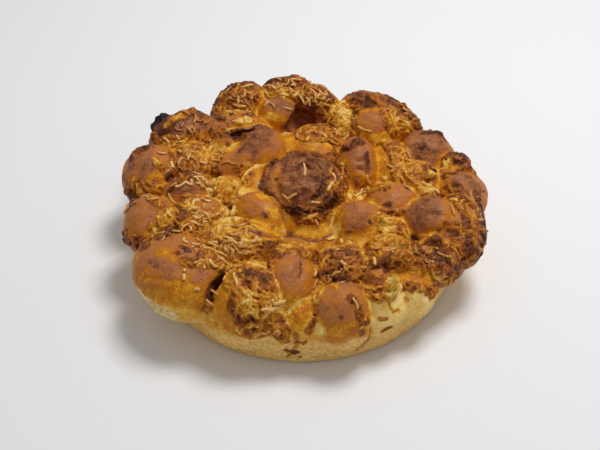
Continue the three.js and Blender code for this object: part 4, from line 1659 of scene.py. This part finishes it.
def strew(heaps):
    shreds = []
    for u, v, radius, count, toast in heaps:
        middle, wanted = seen_at(u, v), len(shreds) + count
        for _ in range(TRIES * count):
            if len(shreds) == wanted:
                break
            start = middle + np.append(rng.normal(0, radius / 2, 2), 0)
            length = rng.uniform(*SHRED_LENGTHS)
            curls = rng.normal(0, CURL) + rng.normal(0, CURL, SPINE_POINTS)
            spine, normals = crawl(start, rng.uniform(0, 2 * math.pi), length, curls)
            if np.linalg.norm(np.diff(spine, axis=0), axis=1).max() > WORM_STEP:
                continue
            width = rng.uniform(*SHRED_WIDTHS)
            rings = shred_rings(spine, normals, width, rng.uniform(*SHRED_LIFTS) * width)
            shreds.append((rings, np.clip(rng.normal(toast, TOAST_VARIETY), 0, 1)))
    return shreds


root = seen_at(*SPIKE_ROOT)
lines = [(hung(seen_at(*start), seen_at(*end)), STRAND_TOAST) for start, end in STRANDS]
lines.append((hung(root, root + SPIKE_REACH), SPIKE_TOAST))
strands = [(shred_rings(*line, STRAND_WIDTH, 0), toast) for line, toast in lines]
worms = [(shred_rings(*lain(pixels), width, WORM_LIFT * width), toast) for width, toast, pixels in WORMS]
strewn = strew(HEAPS) + worms + strands
shreds = link(bpy.data.objects.new("cheese_shreds", joined("cheese_shreds", strewn)))
print("shreds:", len(strewn))

# %% [markdown]
# ## Dried cheese
# A shred is pale where it dried early and dark where it toasted. It has no film of fat, so it needs no
# coat, only a fairly smooth surface with fine bumps. It reads the toast that each shred carries.

# %% Colour the shreds
DRIED_TONES = [
    (0.0, (234, 194, 122)),
    (0.25, (214, 160, 78)),
    (0.5, (182, 114, 38)),
    (0.75, (134, 72, 24)),
    (1.0, (72, 38, 18)),
]
DRIED_ROUGHNESS, DRIED_GLOSS, DRIED_UNEVEN = 0.38, 0.4, 0.6

dried, tree, shader = new_material("dried_cheese")
fine = grain(tree, 1.5, 3, 0.2)
feed(tree, shader, {
    "Base Color": ramp(tree, uneven(tree, reading(tree, "toast"), (fine, DRIED_UNEVEN)), DRIED_TONES),
    "Roughness": DRIED_ROUGHNESS,
    "Specular IOR Level": DRIED_GLOSS,
    "Normal": bumped(tree, fine, 0.3, 0.3),
})
shreds.data.materials.append(dried)
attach(shreds, "root")
print("corners of all shreds:", len(shreds.data.vertices))

# %% [markdown]
# ## Green rings
# A few slices of a green herb stalk were baked in near the rim. Each is a thin ring, half sunk in the
# cheese. A small circle spun round an axis makes one, and each is turned so that it lies on the crust.

# %% Lay the herb rings: pixels across and down, radius in millimetres, and stretch
HERB_RINGS = [(393, 289, 1.6, 1.4), (413, 256, 2.8, 1.3), (400, 248, 1.8, 1.4)]
STALK_HALF, STALK_SIDES, STALK_STEPS = 0.7, 8, 20
STALK_SINKING = 0.4
HERB_TONES = [(0.35, (132, 98, 32)), (0.65, (176, 138, 58))]
HERB_ROUGHNESS = 0.45


def herb_ring(u, v, radius, stretch):
    """A ring of stalk, spun about an axis of its own and laid on the crust that a pixel shows."""
    upright = Matrix.Translation((radius * MM, 0, 0)) @ Matrix.Rotation(math.pi / 2, 4, "X")
    spot, normal = finished.find_nearest(Vector(seen_at(u, v)) * MM)[:2]
    lie = Matrix.Translation(spot - STALK_SINKING * STALK_HALF * MM * normal)
    lie @= normal.to_track_quat("Z", "Y").to_matrix().to_4x4()
    bm = bmesh.new()
    bmesh.ops.create_circle(bm, segments=STALK_SIDES, radius=STALK_HALF * MM, matrix=upright)
    spun(bm, STALK_STEPS)
    bmesh.ops.transform(bm, matrix=lie @ Matrix.Diagonal((1, stretch, 1, 1)), verts=bm.verts)
    return made(bm, "herb_ring")


herb_mesh = made(together(*[herb_ring(*row) for row in HERB_RINGS]), "herb_rings")
herb_mesh.shade_smooth()
herbs = link(bpy.data.objects.new("herb_rings", herb_mesh))
baked_herb, tree, shader = new_material("baked_herb")
herb_colour = ramp(tree, grain(tree, 2.0, 3, 0.7), HERB_TONES)
feed(tree, shader, {"Base Color": herb_colour, "Roughness": HERB_ROUGHNESS})
herbs.data.materials.append(baked_herb)
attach(herbs, "root")
print("herb rings:", len(HERB_RINGS))

# %% [markdown]
# ## Floor and light
# A plain pale floor, a large soft lamp above and a bright even sky: the light of a kitchen with white
# walls. The sky fills the shadows, and the lamp gives the fat on the cheese something to shine with.

# %% Floor, lamp and sky
FLOOR_HALF, FLOOR_COLOUR, FLOOR_ROUGHNESS = 3.0, (0.83, 0.83, 0.84, 1), 0.8
LAMP_SIZE, LAMP_ENERGY, LAMP_PLACE = 0.36, 7.6, (0.28, 0.25, 1.0)
SKY_COLOUR, SKY_STRENGTH = (1.0, 1.0, 1.0, 1), 0.39

bm = bmesh.new()
bmesh.ops.create_grid(bm, x_segments=1, y_segments=1, size=FLOOR_HALF)
floor = link(bpy.data.objects.new("floor", made(bm, "floor")))
pale_floor, tree, shader = new_material("pale_floor")
feed(tree, shader, {"Base Color": FLOOR_COLOUR, "Roughness": FLOOR_ROUGHNESS})
floor.data.materials.append(pale_floor)

lamp = link(bpy.data.objects.new("lamp", bpy.data.lights.new("lamp", "AREA")))
lamp.data.size = LAMP_SIZE
lamp.data.energy = LAMP_ENERGY
lamp.location = LAMP_PLACE
lamp.rotation_euler = (-lamp.location).to_track_quat("-Z", "Y").to_euler()

sky = bpy.data.worlds.new("sky")
sky.use_nodes = True
feed(sky.node_tree, sky.node_tree.nodes["Background"], {"Color": SKY_COLOUR, "Strength": SKY_STRENGTH})
bpy.context.scene.world = sky
bpy.context.scene.view_settings.view_transform = "Standard"
print("lamp at", [round(x, 2) for x in lamp.location])
